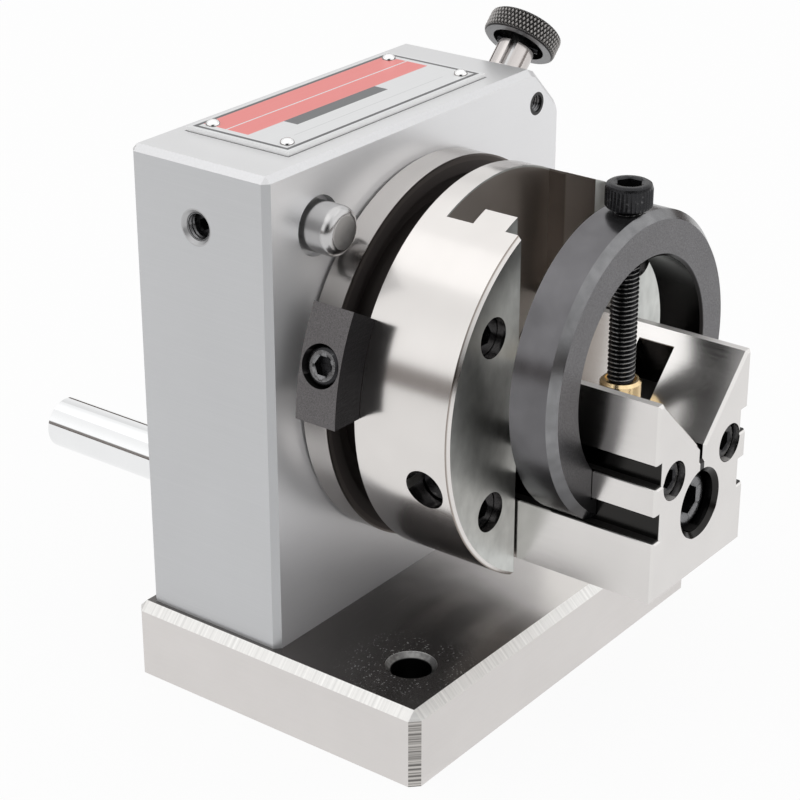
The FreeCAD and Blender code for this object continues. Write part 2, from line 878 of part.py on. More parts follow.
def make_dog():
    """The stop dog, the nut in the head's T-groove that holds it, and their screw."""
    under = head_radius + seat_gap
    top = head_radius + dog_height
    wide = sector("dog_wide", top, dog_span, dog_angle, dog_width, groove_middle)
    hollow = cylinder("dog_hollow", under * 2, dog_width, 0,
                      face_y - groove_middle - dog_width / 2, axis_height, ALONG_Y)
    saddle = cut("dog_saddle", wide, [hollow])
    tongue_width = groove_width - 2 * slide_play
    narrow = sector("dog_narrow", under + 0.5, dog_span, dog_angle, tongue_width, groove_middle)
    inside = cylinder("dog_inside", (under - dog_tongue) * 2, tongue_width, 0,
                      face_y - groove_middle - tongue_width / 2, axis_height, ALONG_Y)
    tongue = cut("dog_tongue", narrow, [inside])
    outward = FreeCAD.Rotation(Vector(0, 1, 0), 90 - dog_angle.value)
    y = face_y - groove_middle
    bore = cylinder("dog_bore", five.thread + 2 * head_gap, top, 0, y, axis_height, outward)
    seat_radius = top - dog_sink
    sink_x = seat_radius * cosine(dog_angle)
    sink_rise = seat_radius * sine(dog_angle)
    sink = cylinder("dog_sink", dog_sink_diameter, dog_sink + 1, sink_x, y,
                    axis_height + sink_rise, outward)
    cut("stop_dog", joined("dog_blank", [saddle, tongue]), [bore, sink])
    nut_width = groove_width + 2 * groove_undercut - 2 * seat_gap
    nut_top = groove_pocket_top - seat_gap
    nut_bottom = groove_floor + seat_gap
    plate = sector("nut_wide", nut_top, nut_span, dog_angle, nut_width, groove_middle)
    core = cylinder("nut_core", nut_bottom * 2, nut_width, 0, face_y - groove_middle
                    - nut_width / 2, axis_height, ALONG_Y)
    thread = cylinder("nut_thread", five.thread + 2 * thread_gap, top, 0, y, axis_height, outward)
    cut("dog_nut", plate, [core, thread])
    screw = cap_screw("dog_screw", five, seat_radius - nut_bottom - 2 * seat_gap)
    put(screw, sink_x, y, axis_height + sink_rise, outward)


def make_stop_pin():
    radius = stop_diameter / 2
    pin = turned("stop_pin", [
        (0, stop_reach - stop_length), (radius - 1, stop_reach - stop_length),
        (radius, stop_reach - stop_length + 1), (radius, stop_reach - stop_taper),
        (stop_tip / 2, stop_reach), (0, stop_reach)])
    seat(pin, stop_x, stop_rise)
    lock = set_screw("pin_lock_screw", six, lock_screw_length)
    put(lock, stop_x - radius - running, face_y + lock_screw_setback, axis_height + stop_rise,
        LEFTWARD)


def v_outline(half, low, high, with_grooves):
    """The right half of the block's outline, from the bottom up to the V's relief."""
    v_half = high - v_bottom
    relief_half = v_relief_width / 2
    corners = [(half, low)]
    if with_grooves:
        for bottom, top in ((lower_groove_bottom, lower_groove_top),
                            (upper_groove_bottom, upper_groove_top)):
            floor = half - side_groove_depth
            corners.append((half, bottom))
            corners.append((half - side_groove_mouth, bottom + side_groove_mouth))
            corners.append((floor, bottom + side_groove_mouth))
            corners.append((floor, top - side_groove_mouth))
            corners.append((half - side_groove_mouth, top - side_groove_mouth))
            corners.append((half, top))
    if half.value > v_half.value:
        corners.append((half, high))
        corners.append((v_half, high))
    else:
        corners.append((half, v_bottom + half))
    corners.append((relief_half, v_bottom + relief_half))
    corners.append((relief_half, v_bottom - v_relief_depth))
    return mirrored(corners)


def make_v_block():
    half = block_width / 2
    blank = new_body("v_block_blank")
    outline = new_sketch(blank, recess_floor + slide_play)
    polygon(outline, v_outline(half, block_bottom, block_top, True))
    pad(blank, outline, block_front - recess_floor - slide_play)
    front = block_front.value

    def front_edge(edge):
        return near(edge.CenterOfMass.z, front)

    bevel(blank, block_chamfer, front_edge)
    tongue = new_sketch(blank, keeper_rear - slide_play)
    polygon(tongue, v_outline(tongue_half, block_bottom, block_top, False))
    pad(blank, tongue, recess_floor - keeper_rear + 2 * slide_play)
    seat(blank)
    tools = [block("pad_pocket", pad_pocket_length, pad_pocket_width, block_top - pad_pocket_floor,
                   -pad_pocket_length / 2, face_y - ring_middle - pad_pocket_width / 2,
                   axis_height + pad_pocket_floor)]
    for side in (-1, 1):
        x = side * block_screw_side
        rise = axis_height + block_screw_rise
        tools.append(cylinder("block_screw_hole", five.thread + 2 * head_gap, block_front, x,
                              face_y - block_front, rise, ALONG_Y))
        tools.append(cylinder("block_screw_sink", five.head + head_gap, block_screw_sink, x,
                              face_y - block_front, rise, ALONG_Y))
    rise = axis_height + clamp_bolt_rise
    tools.append(cylinder("clamp_bolt_hole", eight.thread + 2 * head_gap, block_front, 0,
                          face_y - block_front, rise, ALONG_Y))
    tools.append(cylinder("clamp_bolt_sink", eight.head + 3 * head_gap, clamp_bolt_sink, 0,
                          face_y - block_front, rise, ALONG_Y))
    tools.append(cone("clamp_bolt_mouth", clamp_bolt_mouth, eight.head, clamp_bolt_mouth_depth, 0,
                      face_y - block_front, rise, ALONG_Y))
    cut("v_block", blank, tools)


def make_slide():
    """The T-head of the slide behind the neck, and the screws through the V-block."""
    plate = new_body("slide_blank")
    outline = new_sketch(plate, slot_rear + slide_play)
    polygon(outline, v_outline(slot_width / 2 - slide_play, block_bottom, block_top, False))
    pad(plate, outline, keeper_rear - slot_rear - 2 * slide_play)
    seat(plate)
    rear = face_y - slot_rear
    depth = keeper_rear - slot_rear
    tools = []
    screws = []
    for side in (-1, 1):
        x = side * block_screw_side
        tools.append(cylinder("slide_thread", five.thread + 2 * thread_gap, depth, x,
                              rear - depth, axis_height + block_screw_rise, ALONG_Y))
        length = block_front - block_screw_sink - slot_rear - 1
        screw = cap_screw("block_screw", five, length)
        screws.append(seat(screw, x, block_screw_rise, block_front - block_screw_sink))
    tools.append(cylinder("slide_bolt_thread", eight.thread + 2 * thread_gap, depth, 0,
                          rear - depth, axis_height + clamp_bolt_rise, ALONG_Y))
    cut("slide_plate", plate, tools)
    group("block_screws", screws)
    length = block_front - clamp_bolt_sink - slot_rear - slide_play
    bolt = cap_screw("slide_clamp_screw", eight, length)
    seat(bolt, 0, clamp_bolt_rise, block_front - clamp_bolt_sink)


def make_clamp_ring():
    """A C-shaped ring whose hooks run in the V-block's lower side grooves."""
    ring = new_body("ring_blank")
    rear = new_sketch(ring, 0)
    circle(rear, 0, 0, ring_outer / 2)
    circle(rear, 0, 0, ring_inner / 2)
    pad(ring, rear, ring_thickness)
    front = ring_thickness.value
    outer = ring_outer.value / 2

    def outer_front(edge):
        big = edge.BoundBox.XMax > outer - 0.01
        return big and near(edge.CenterOfMass.z, front)

    bevel(ring, ring_chamfer, outer_front)
    inner = ring_inner.value / 2

    def inner_front(edge):
        small = abs(edge.BoundBox.XMax - inner) < 0.01
        return small and near(edge.CenterOfMass.z, front)

    bevel(ring, ring_inner_chamfer, inner_front)
    groove_top = lower_groove_top - side_groove_mouth - hook_play - ring_rise
    groove_bottom = lower_groove_bottom + side_groove_mouth + hook_play - ring_rise
    mouth_half = block_width / 2 + hook_play
    hook_half = block_width / 2 - side_groove_depth + hook_play
    mouth = new_sketch(ring, ring_thickness + 1)
    rectangle(mouth, -mouth_half, mouth_half, groove_top, 0)
    pocket(ring, mouth, ring_thickness + 2)
    throat = new_sketch(ring, ring_thickness + 1)
    rectangle(throat, -hook_half, hook_half, -ring_outer / 2 - 1, groove_top + 1)
    pocket(ring, throat, ring_thickness + 2)
    sole = new_sketch(ring, ring_thickness + 1)
    rectangle(sole, -ring_outer / 2, ring_outer / 2, -ring_outer / 2 - 1, groove_bottom)
    pocket(ring, sole, ring_thickness + 2)
    seat(ring, 0, ring_rise, head_reach + ring_distance)
    hole = cylinder("ring_thread", six.thread + 2 * running, ring_outer / 2, 0,
                    face_y - ring_middle, axis_height + ring_rise)
    cut("clamp_ring", ring, [hole])


def make_clamp_screw():
    """The clamp screw, whose nose turns in the socket of the pad."""
    y = face_y - ring_middle
    under_head = ring_rise + ring_outer / 2 + screw_lift
    length = under_head - screw_nose_rise - pad_socket
    screw = cap_screw("screw_blank", six, length, screw_head_height)
    put(screw, 0, y, axis_height + under_head)
    tip = axis_height + screw_nose_rise
    nose = cylinder("screw_nose", screw_nose, pad_socket + 0.5, 0, y, tip)
    thing = doc.addObject("Part::Fuse", "clamp_screw")
    thing.Base = screw
    thing.Tool = nose
    pad_top = tip + pad_socket + pad_rim - seat_gap
    blank = turned("pad_blank", [
        (0, -pad_height), (pad_diameter / 2 - 0.5, -pad_height),
        (pad_diameter / 2, 0.5 - pad_height), (pad_diameter / 2, -0.6),
        (pad_diameter / 2 - 0.6, 0), (0, 0)])
    put(blank, 0, y, pad_top)
    socket = cylinder("pad_socket", screw_nose + 2 * running, pad_socket, 0, y, tip - seat_gap)
    recess = cylinder("pad_recess", pad_recess, pad_rim, 0, y, pad_top - pad_rim)
    cut("clamp_pad", blank, [socket, recess])


def in_plunger_frame(thing, distance, turn=0):
    """Places a thing drawn along z on the plunger's axis, distance out from the spindle's."""
    rotation = HALF_RIGHT.multiply(FreeCAD.Rotation(Vector(0, 0, 1), turn))
    reach = distance / math.sqrt(2)
    return put(thing, reach, face_y + plunger_setback, axis_height + reach, rotation)


def make_plunger():
    """The pull-and-turn index plunger: sleeve, spring, plunger, cross pin and knob."""
    inner = stem_diameter / 2 + running
    outer = sleeve_diameter / 2
    low = chamfer_distance - sleeve_depth
    length = sleeve_depth + sleeve_proud
    sleeve = turned("sleeve_blank", [(inner, 0), (outer, 0), (outer, length - 0.4),
                                     (outer - 0.4, length), (inner, length)])
    in_plunger_frame(sleeve, low)
    slot = block("sleeve_slot", sleeve_diameter + 2, sleeve_slot, sleeve_slot_depth + 1,
                 -(sleeve_diameter + 2) / 2, -sleeve_slot / 2, -sleeve_slot_depth)
    carrier = group("sleeve_slot_placed", [slot])
    in_plunger_frame(carrier, low + length, sleeve_slot_angle.value)
    cut("plunger_sleeve", sleeve, [carrier])

    tip = index_diameter / 2 + plunger_lift
    shoulder = plunger_nose
    stem = stem_diameter / 2
    knob_low = chamfer_distance + knob_distance
    knob_top = knob_low + knob_height
    stem_top = knob_top - knob_roof - seat_gap - tip
    body = turned("plunger_blank", [
        (0, 0), (plunger_tip / 2, 0), (outer, plunger_taper), (outer, shoulder),
        (stem, shoulder), (stem, stem_top), (0, stem_top)])
    in_plunger_frame(body, tip)
    pin_level = chamfer_distance + sleeve_proud + cross_pin_diameter / 2 + running
    angle = sleeve_slot_angle.value + 90
    hole = cylinder("cross_hole", cross_pin_diameter + 2 * running, cross_pin_length,
                    -cross_pin_length / 2, 0, 0, ALONG_X)
    holder = group("cross_hole_placed", [hole])
    in_plunger_frame(holder, pin_level, angle)
    cut("plunger_pin", body, [holder])
    bar = cylinder("cross_bar", cross_pin_diameter, cross_pin_length,
                   -cross_pin_length / 2, 0, 0, ALONG_X)
    in_plunger_frame(group("cross_pin", [bar]), pin_level, angle)

    washer = turned("spring_washer", [
        (stem + running, 0), (outer - 0.2, 0), (outer - 0.2, spring_washer_thickness),
        (stem + running, spring_washer_thickness)])
    in_plunger_frame(washer, tip + shoulder)

    radius = knob_diameter / 2
    sink = knob_sink / 2
    bore = stem + running
    roof = knob_height - knob_roof
    knob = turned("plunger_knob", [
        (sink, 0), (radius - knob_chamfer, 0), (radius, knob_chamfer),
        (radius, knob_height - knob_chamfer), (radius - knob_chamfer, knob_height),
        (0, knob_height), (0, roof), (bore, roof), (bore, knob_sink_depth),
        (sink, knob_sink_depth)])
    in_plunger_frame(knob, knob_low)

    spring_low = tip + shoulder + spring_washer_thickness
    room = low - spring_low
    wire = spring_wire / 2
    mean = outer - spring_gap - wire
    pitch = (room - spring_wire) / spring_turns
    helix = Part.makeHelix(pitch.value, (pitch * spring_turns).value, mean.value)
    section = Part.Wire(Part.makeCircle(wire.value, Vector(mean.value, 0, 0), Vector(0, 1, 0)))
    coil = doc.addObject("Part::Feature", "plunger_spring")
    coil.Shape = Part.Wire(helix).makePipeShell([section], True, True)
    in_plunger_frame(coil, spring_low + wire)

    screw = set_screw("sleeve_set_screw", four, set_screw_length)
    spot = set_screw_spot()
    put(screw, spot, face_y + plunger_setback - outer - running, axis_height + spot, FORWARD)


PARTS = [
    "base_plate", "body", "body_screws", "body_dowels", "name_plate", "name_plate_rivets",
    "spindle_bush", "pin_lock_screw", "sleeve_set_screw", "plunger_sleeve", "plunger_spring",
    "stop_pin", "spring_washer", "plunger_pin", "cross_pin", "plunger_knob",
    "spindle", "slot_keeper_left", "slot_keeper_right", "keeper_screws", "slide_side_screw",
    "index_ring", "index_ring_screws", "thrust_washer", "crank_arm", "crank_key", "crank_rod",
    "spindle_nut", "stop_dog", "dog_nut", "dog_screw", "v_block", "slide_plate", "block_screws",
    "slide_clamp_screw", "clamp_ring", "clamp_pad", "clamp_screw",
]


def check_and_write():
    """Stops on any failed object or cut that removes nothing, then writes every piece."""
    doc.recompute()
    for item in doc.Objects:
        if "Invalid" in item.State or "Error" in item.State:
            raise RuntimeError("%s failed to build: %s" % (item.Name, item.State))
        if item.TypeId == "PartDesign::Pocket":
            if item.Shape.Volume > item.BaseFeature.Shape.Volume - 1e-6:
                raise RuntimeError("%s cuts nothing" % item.Name)
    os.makedirs("parts", exist_ok=True)
    for name in PARTS:
        found = doc.getObjectsByLabel(name)
        if len(found) != 1:
            raise RuntimeError("%s is there %d times" % (name, len(found)))
        shape = found[0].Shape
        if shape.isNull() or not shape.isValid() or not shape.Solids:
            raise RuntimeError("%s has no valid solid" % name)
        shape.exportStep("parts/%s.step" % name)


make_base()
make_body()
make_body_fasteners()
make_name_plate()
make_spindle()
make_keepers()
make_index_ring()
make_bush_and_washer()
make_crank()
make_dog()
make_stop_pin()
make_v_block()
make_slide()
make_clamp_ring()
make_clamp_screw()
make_plunger()
check_and_write()
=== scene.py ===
import math

import bpy
from mathutils import Matrix, Vector


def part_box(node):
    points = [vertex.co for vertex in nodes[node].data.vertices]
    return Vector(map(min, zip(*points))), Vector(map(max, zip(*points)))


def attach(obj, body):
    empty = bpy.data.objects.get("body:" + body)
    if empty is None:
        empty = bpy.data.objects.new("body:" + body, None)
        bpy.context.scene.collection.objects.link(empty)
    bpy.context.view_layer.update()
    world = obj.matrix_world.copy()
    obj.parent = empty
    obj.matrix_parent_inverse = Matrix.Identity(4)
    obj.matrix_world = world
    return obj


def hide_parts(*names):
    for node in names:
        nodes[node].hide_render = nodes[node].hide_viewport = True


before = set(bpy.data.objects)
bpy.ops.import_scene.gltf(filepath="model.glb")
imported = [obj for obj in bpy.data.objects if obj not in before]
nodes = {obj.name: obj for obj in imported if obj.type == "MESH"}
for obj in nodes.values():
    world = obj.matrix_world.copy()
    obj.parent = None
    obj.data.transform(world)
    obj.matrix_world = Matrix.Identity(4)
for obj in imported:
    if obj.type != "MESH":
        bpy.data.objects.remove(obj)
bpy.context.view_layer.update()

MM = 0.001
UP = Vector((0, 0, 1))
FRONTWARD = Vector((0, -1, 0))
LEFTWARD = Vector((-1, 0, 0))
OUTWARD = Vector((1, 0, 1)).normalized()

# Sizes and places in millimetres, in the shared frame
AXIS_Z = 75
BASE_HOLE_X = 39.4
BASE_HOLE_Y = -26.75
BASE_HOLE_RADIUS = 4.625
BASE_SINK_RADIUS = 5.67
LOCK_HOLE_RADIUS = 3.15
LOCK_SINK_RADIUS = 4.15
SET_SCREW_SINK_RADIUS = 2.75
HEAD_INNER_RADIUS = 43.35
GROOVE_FRONT = -17.7
GROOVE_BACK = -5.0
FLANGE_FRONT = -7.3
FLANGE_EDGE_RADIUS = 43.25
GROOVE_LIP_RADIUS = 42.3
SLOT_FRONT = -27.6
SLOT_BACK = -19.8
BLOCK_FRONT = -73.4
BLOCK_WEB = 15.95
BLOCK_SIDE = 18.38
UPPER_GROOVE = (66.55, 71.95)
LOWER_GROOVE = (53.95, 60.25)
PAD_POCKET = (-57.15, -48.1)
RELIEF = (62, 70)
CLAMP_BOLT_Z = 56.3
CLAMP_BOLT_MOUTH = 7.975
RING_CENTRE_Z = 83.2
RING_BORE_RADIUS = 24.75
DOG_Y = -11.3
DOG_ANGLE = math.radians(164.5)
DOG_OUT = Vector((math.cos(DOG_ANGLE), 0, math.sin(DOG_ANGLE)))
DOG_BORE_RADIUS = 4.75
DOG_SCREW_SEAT = 46.6
SMALL_HEAD_RADIUS = 4.25
SMALL_KEY = 4.0
SMALL_SHANK_RADIUS = 2.5
CLAMP_BOLT_HEAD = 8
CLAMP_THREAD_RADIUS = 3.0
KNOB_RADIUS = 9.0
KNOB_SINK = 6.4
LAMP_TARGET = Vector((0, 0, 70))


def middle(node):
    low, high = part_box(node)
    return (low + high) / 2


class Finish:
    """One material: a Principled shader fed by small chains of nodes. Lengths are millimetres."""

    def __init__(self, name, metallic=1.0):
        self.data = bpy.data.materials.new(name)
        self.data.use_nodes = True
        self.tree = self.data.node_tree
        self.shader = self.tree.nodes["Principled BSDF"]
        self.shader.inputs["Metallic"].default_value = metallic
        self.coordinates = self.node("ShaderNodeTexCoord")
        self.place = self.vector("MULTIPLY", self.coordinates.outputs["Object"], (1 / MM,) * 3)
        self.axes = self.split(self.place)
        self.normal = self.split(self.coordinates.outputs["Normal"])

    def node(self, kind, **settings):
        made = self.tree.nodes.new(kind)
        for name, value in settings.items():
            setattr(made, name, value)
        return made

    def feed(self, socket, value):
        """Links a socket to an output, or sets it to a number or a colour."""
        if isinstance(value, bpy.types.NodeSocket):
            self.tree.links.new(value, socket)
        elif hasattr(value, "__len__") and socket.type == "RGBA":
            socket.default_value = (*value, 1)
        else:
            socket.default_value = value

    def vector(self, operation, a, b):
        made = self.node("ShaderNodeVectorMath", operation=operation)
        self.feed(made.inputs[0], a)
        self.feed(made.inputs[1], b)
        return made.outputs[0]

    def split(self, vector):
        made = self.node("ShaderNodeSeparateXYZ")
        self.feed(made.inputs[0], vector)
        return made.outputs

    def math(self, operation, a, b=0.0):
        made = self.node("ShaderNodeMath", operation=operation)
        self.feed(made.inputs[0], a)
        self.feed(made.inputs[1], b)
        return made.outputs[0]

    def noise(self, size, detail=3, offset=(0, 0, 0)):
        """Soft noise from 0 to 1. The size of its grain is one length, or one for each axis."""
        sizes = size if hasattr(size, "__len__") else (size,) * 3
        scaled = self.vector("MULTIPLY", self.place, tuple(1 / s for s in sizes))
        made = self.node("ShaderNodeTexNoise")
        self.feed(made.inputs["Vector"], self.vector("ADD", scaled, offset))
        made.inputs["Scale"].default_value = 1
        made.inputs["Detail"].default_value = detail
        return made.outputs["Fac"]

    def step(self, value, low, high, start=0.0, end=1.0):
        """Goes smoothly from start to end while the value goes from low to high."""
        made = self.node("ShaderNodeMapRange", interpolation_type="SMOOTHSTEP")
        for socket, number in zip(made.inputs[:5], (value, low, high, start, end)):
            self.feed(socket, number)
        return made.outputs[0]

    def band(self, value, low, high, soft=0.1):
        """1 between low and high, 0 outside."""
        rise = self.step(value, low - soft, low + soft)
        return self.math("MULTIPLY", rise, self.step(value, high - soft, high + soft, 1, 0))

    def within(self, value, limit, soft=0.05):
        """1 below the limit, 0 above it."""
        return self.step(value, limit - soft, limit + soft, 1, 0)

    def beyond(self, value, limit, soft=0.05):
        """1 above the limit, 0 below it."""
        return self.step(value, limit - soft, limit + soft)

    def both(self, *masks):
        result = masks[0]
        for mask in masks[1:]:
            result = self.math("MULTIPLY", result, mask)
        return result

    def mix(self, factor, a, b):
        made = self.node("ShaderNodeMix", data_type="RGBA")
        self.feed(made.inputs[0], factor)
        self.feed(made.inputs[6], a)
        self.feed(made.inputs[7], b)
        return made.outputs[2]

    def shade(self, colour, factor, low=0.8, high=1.2):
        """A colour that goes from darker to lighter with the factor."""
        dark = [channel * low for channel in colour]
        light = [channel * high for channel in colour]
        return self.mix(factor, dark, light)

    def slope(self):
        """1 on chamfers and other faces that look along none of the three axes."""
        largest = self.math("ABSOLUTE", self.normal[0])
        for side in self.normal[1:]:
            largest = self.math("MAXIMUM", largest, self.math("ABSOLUTE", side))
        return self.step(largest, 0.93, 0.985, 1, 0)

    def along_edge(self):
        """The distance along a chamfer's edge, on a block whose sides follow the axes."""
        x, y, z = self.axes
        nx, ny, nz = (self.math("ABSOLUTE", side) for side in self.normal)
        level = self.math("MULTIPLY", x, ny)
        level = self.math("ADD", level, self.math("MULTIPLY", y, nx))
        upright = self.step(nz, 0.3, 0.6, 1, 0)
        return self.math("ADD", level, self.math("MULTIPLY", z, upright))

    def chatter(self, size):
        """Cutter marks across chamfers, from 0 to 1."""
        made = self.node("ShaderNodeTexNoise", noise_dimensions="1D")
        self.feed(made.inputs["W"], self.math("MULTIPLY", self.along_edge(), 1 / size))
        made.inputs["Scale"].default_value = 1
        made.inputs["Detail"].default_value = 2
        return made.outputs["Fac"]

    def reach(self, centre, direction):
        """The distance from an axis through the centre, along the direction."""
        arm = self.vector("SUBTRACT", self.place, tuple(centre))
        across = self.vector("CROSS_PRODUCT", arm, tuple(direction))
        made = self.node("ShaderNodeVectorMath", operation="LENGTH")
        self.feed(made.inputs[0], across)
        return made.outputs["Value"]

    def set(self, colour, roughness, height=None, depth=0.0):
        """Wires colour and roughness, and bumps the surface by a height of that depth."""
        self.feed(self.shader.inputs["Base Color"], colour)
        self.feed(self.shader.inputs["Roughness"], roughness)
        if height is not None:
            bump = self.node("ShaderNodeBump")
            bump.inputs["Distance"].default_value = depth * MM
            self.feed(bump.inputs["Height"], height)
            self.feed(self.shader.inputs["Normal"], bump.outputs[0])
        return self

    def on(self, *names):
        for name in names:
            for held in nodes[name].material_slots:
                held.material = self.data


# Materials of the fixed pieces

def base_finish():
    """Ground plate: warm grey sides, chatter lines on the chamfers with a painted highlight on
    the sloped ones and painted shade on the upright ones, a top with a painted reflection,
    painted glints in the countersinks and painted shade in the bolt holes.
    """
    steel = Finish("ground_base")
    grain = steel.noise((14, 14, 0.5), 4)
    cloud = steel.noise(16, 3)
    side = steel.shade((0.69, 0.665, 0.65), cloud, 0.95, 1.05)
    chatter = steel.chatter(0.55)
    # Painted highlight on the sloped chamfers and painted shade on the upright ones; the chatter
    # lines are real.
    upright = steel.step(steel.normal[2], 0.2, 0.4, 1, 0)
    bright = steel.shade((0.88, 0.87, 0.85), chatter, 0.72, 1.1)
    ribbed_shade = steel.shade((0.36, 0.345, 0.33), steel.step(chatter, 0.35, 0.65), 0.45, 1.6)
    top = steel.step(steel.normal[2], 0.97, 0.995)
    # Painted reflection on the top: dark to the left and back, light to the right and front,
    # lighter again at the front-left corner. The scratches are real.
    x, y, _ = steel.axes
    away = steel.math("ADD", steel.math("MULTIPLY", x, 0.8), steel.math("MULTIPLY", y, -0.35))
    away = steel.math("ADD", away, steel.math("MULTIPLY", cloud, 14))
    reflection_and_scratches = steel.mix(steel.step(away, -6, 28), (0.14, 0.132, 0.129), (0.85, 0.82, 0.79))
    corner = steel.step(steel.math("ADD", x, y), -122, -92, 0.8, 0)
    reflection_and_scratches = steel.mix(corner, reflection_and_scratches, (0.62, 0.60, 0.58))
    scratches = steel.step(steel.noise((11, 0.25, 1), 1, (5, 2, 0)), 0.73, 0.75, 0, 0.3)
    reflection_and_scratches = steel.mix(scratches, reflection_and_scratches, (0.4, 0.39, 0.38))
    left, right = (steel.reach((side * BASE_HOLE_X, BASE_HOLE_Y, 0), UP) for side in (-1, 1))
    nearest = steel.math("MINIMUM", left, right)
    specks = steel.both(steel.step(steel.noise(0.42, 0), 0.74, 0.76),
                        steel.step(nearest, 7, 19, 1, 0), top)
    # Painted glints in the countersinks and painted shade in the bolt holes.
    sink = steel.within(nearest, BASE_SINK_RADIUS)
    bore_shade = steel.within(nearest, BASE_HOLE_RADIUS, 0.075)
    chamfer = steel.mix(upright, bright, ribbed_shade)
    colour = steel.mix(top, steel.mix(steel.slope(), side, chamfer), reflection_and_scratches)
    colour = steel.mix(specks, colour, (0.75, 0.75, 0.75))
    glint = steel.shade((0.17, 0.168, 0.165), steel.noise(1.3, 3), 0.0, 2.2)
    colour = steel.mix(sink, colour, glint)
    colour = steel.mix(bore_shade, colour, (0.02, 0.02, 0.02))
    rough = steel.math("ADD", steel.step(grain, 0.2, 0.8, 0.34, 0.42),
                       steel.math("MULTIPLY", top, -0.18))
    height = steel.math("MULTIPLY", steel.math("ADD", grain, chatter),
                        steel.math("SUBTRACT", 1.0, top))
    dull = steel.math("MULTIPLY", top, 0.25)
    steel.feed(steel.shader.inputs["Metallic"], steel.math("SUBTRACT", 1.0, dull))
    return steel.set(colour, rough, height, 0.012)


def body_finish():
    """Satin surface-ground steel, its sides, front and top painted in different tones as light
    and shade, the front lighter towards the top; painted highlight on the top chamfers, painted
    shade on the upright ones, in the screw holes and round the name plate.
    """
    steel = Finish("satin_body", 0.6)
    lines = steel.noise((30, 30, 0.2), 3)
    cloud = steel.noise(24, 3)
    face = steel.shade((0.545, 0.55, 0.56), cloud, 0.95, 1.05)
    # Painted light: the front face lighter towards the top, the top lighter than the sides.
    front = steel.step(steel.normal[1], -0.99, -0.95, 1, 0)
    top = steel.step(steel.normal[2], 0.95, 0.99)
    low_front = steel.shade((0.62, 0.62, 0.635), cloud, 0.95, 1.05)
    high_front = steel.shade((0.82, 0.82, 0.83), cloud, 0.95, 1.05)
    rise = steel.step(steel.axes[2], 35, 95)
    face = steel.mix(front, face, steel.mix(rise, low_front, high_front))
    face = steel.mix(top, face, steel.shade((0.74, 0.74, 0.745), cloud, 0.96, 1.04))
    face = steel.mix(steel.step(lines, 0.4, 0.8, 0, 0.10), face, (0.72, 0.72, 0.73))
    # Painted highlight on the top chamfers and painted shade on the upright ones.
    bright = steel.shade((0.74, 0.74, 0.75), steel.noise(0.5, 1), 0.95, 1.05)
    upright = steel.step(steel.normal[2], 0.2, 0.4, 1, 0)
    edge = steel.mix(upright, bright, (0.47, 0.475, 0.485))
    colour = steel.mix(steel.slope(), face, edge)
    # Painted shade in the lock screw's countersink and hole and in the set screw's hole.
    lock = steel.reach(middle("pin_lock_screw") / MM, LEFTWARD)
    colour = steel.mix(steel.within(lock, LOCK_SINK_RADIUS), colour, (0.47, 0.47, 0.475))
    colour = steel.mix(steel.within(lock, LOCK_HOLE_RADIUS), colour, (0.04, 0.04, 0.04))
    small = steel.reach(middle("sleeve_set_screw") / MM, FRONTWARD)
    colour = steel.mix(steel.within(small, SET_SCREW_SINK_RADIUS), colour, (0.03, 0.03, 0.03))
    # Painted shadow in a thin line round the name plate.
    low, high = (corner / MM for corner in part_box("name_plate"))
    x, y, _ = steel.axes
    gap = 0.35
    under = steel.both(top, steel.band(x, low.x - gap, high.x + gap, 0.15),
                       steel.band(y, low.y - gap, high.y + gap, 0.15))
    colour = steel.mix(under, colour, (0.10, 0.10, 0.105))
    rough = steel.step(cloud, 0.2, 0.8, 0.32, 0.38)
    return steel.set(colour, rough, lines, 0.003)


def polished_finish(name, tone, rough, lines=(40, 0.12, 40)):
    """Turned and polished steel with fine lines across its axis."""
    steel = Finish(name)
    turning = steel.noise(lines, 2)
    cloud = steel.noise(9, 3)
    colour = steel.shade(tone, cloud, 0.93, 1.05)
    return steel.set(colour, steel.step(turning, 0.25, 0.75, rough * 0.9, rough * 1.15),
                     turning, 0.001)


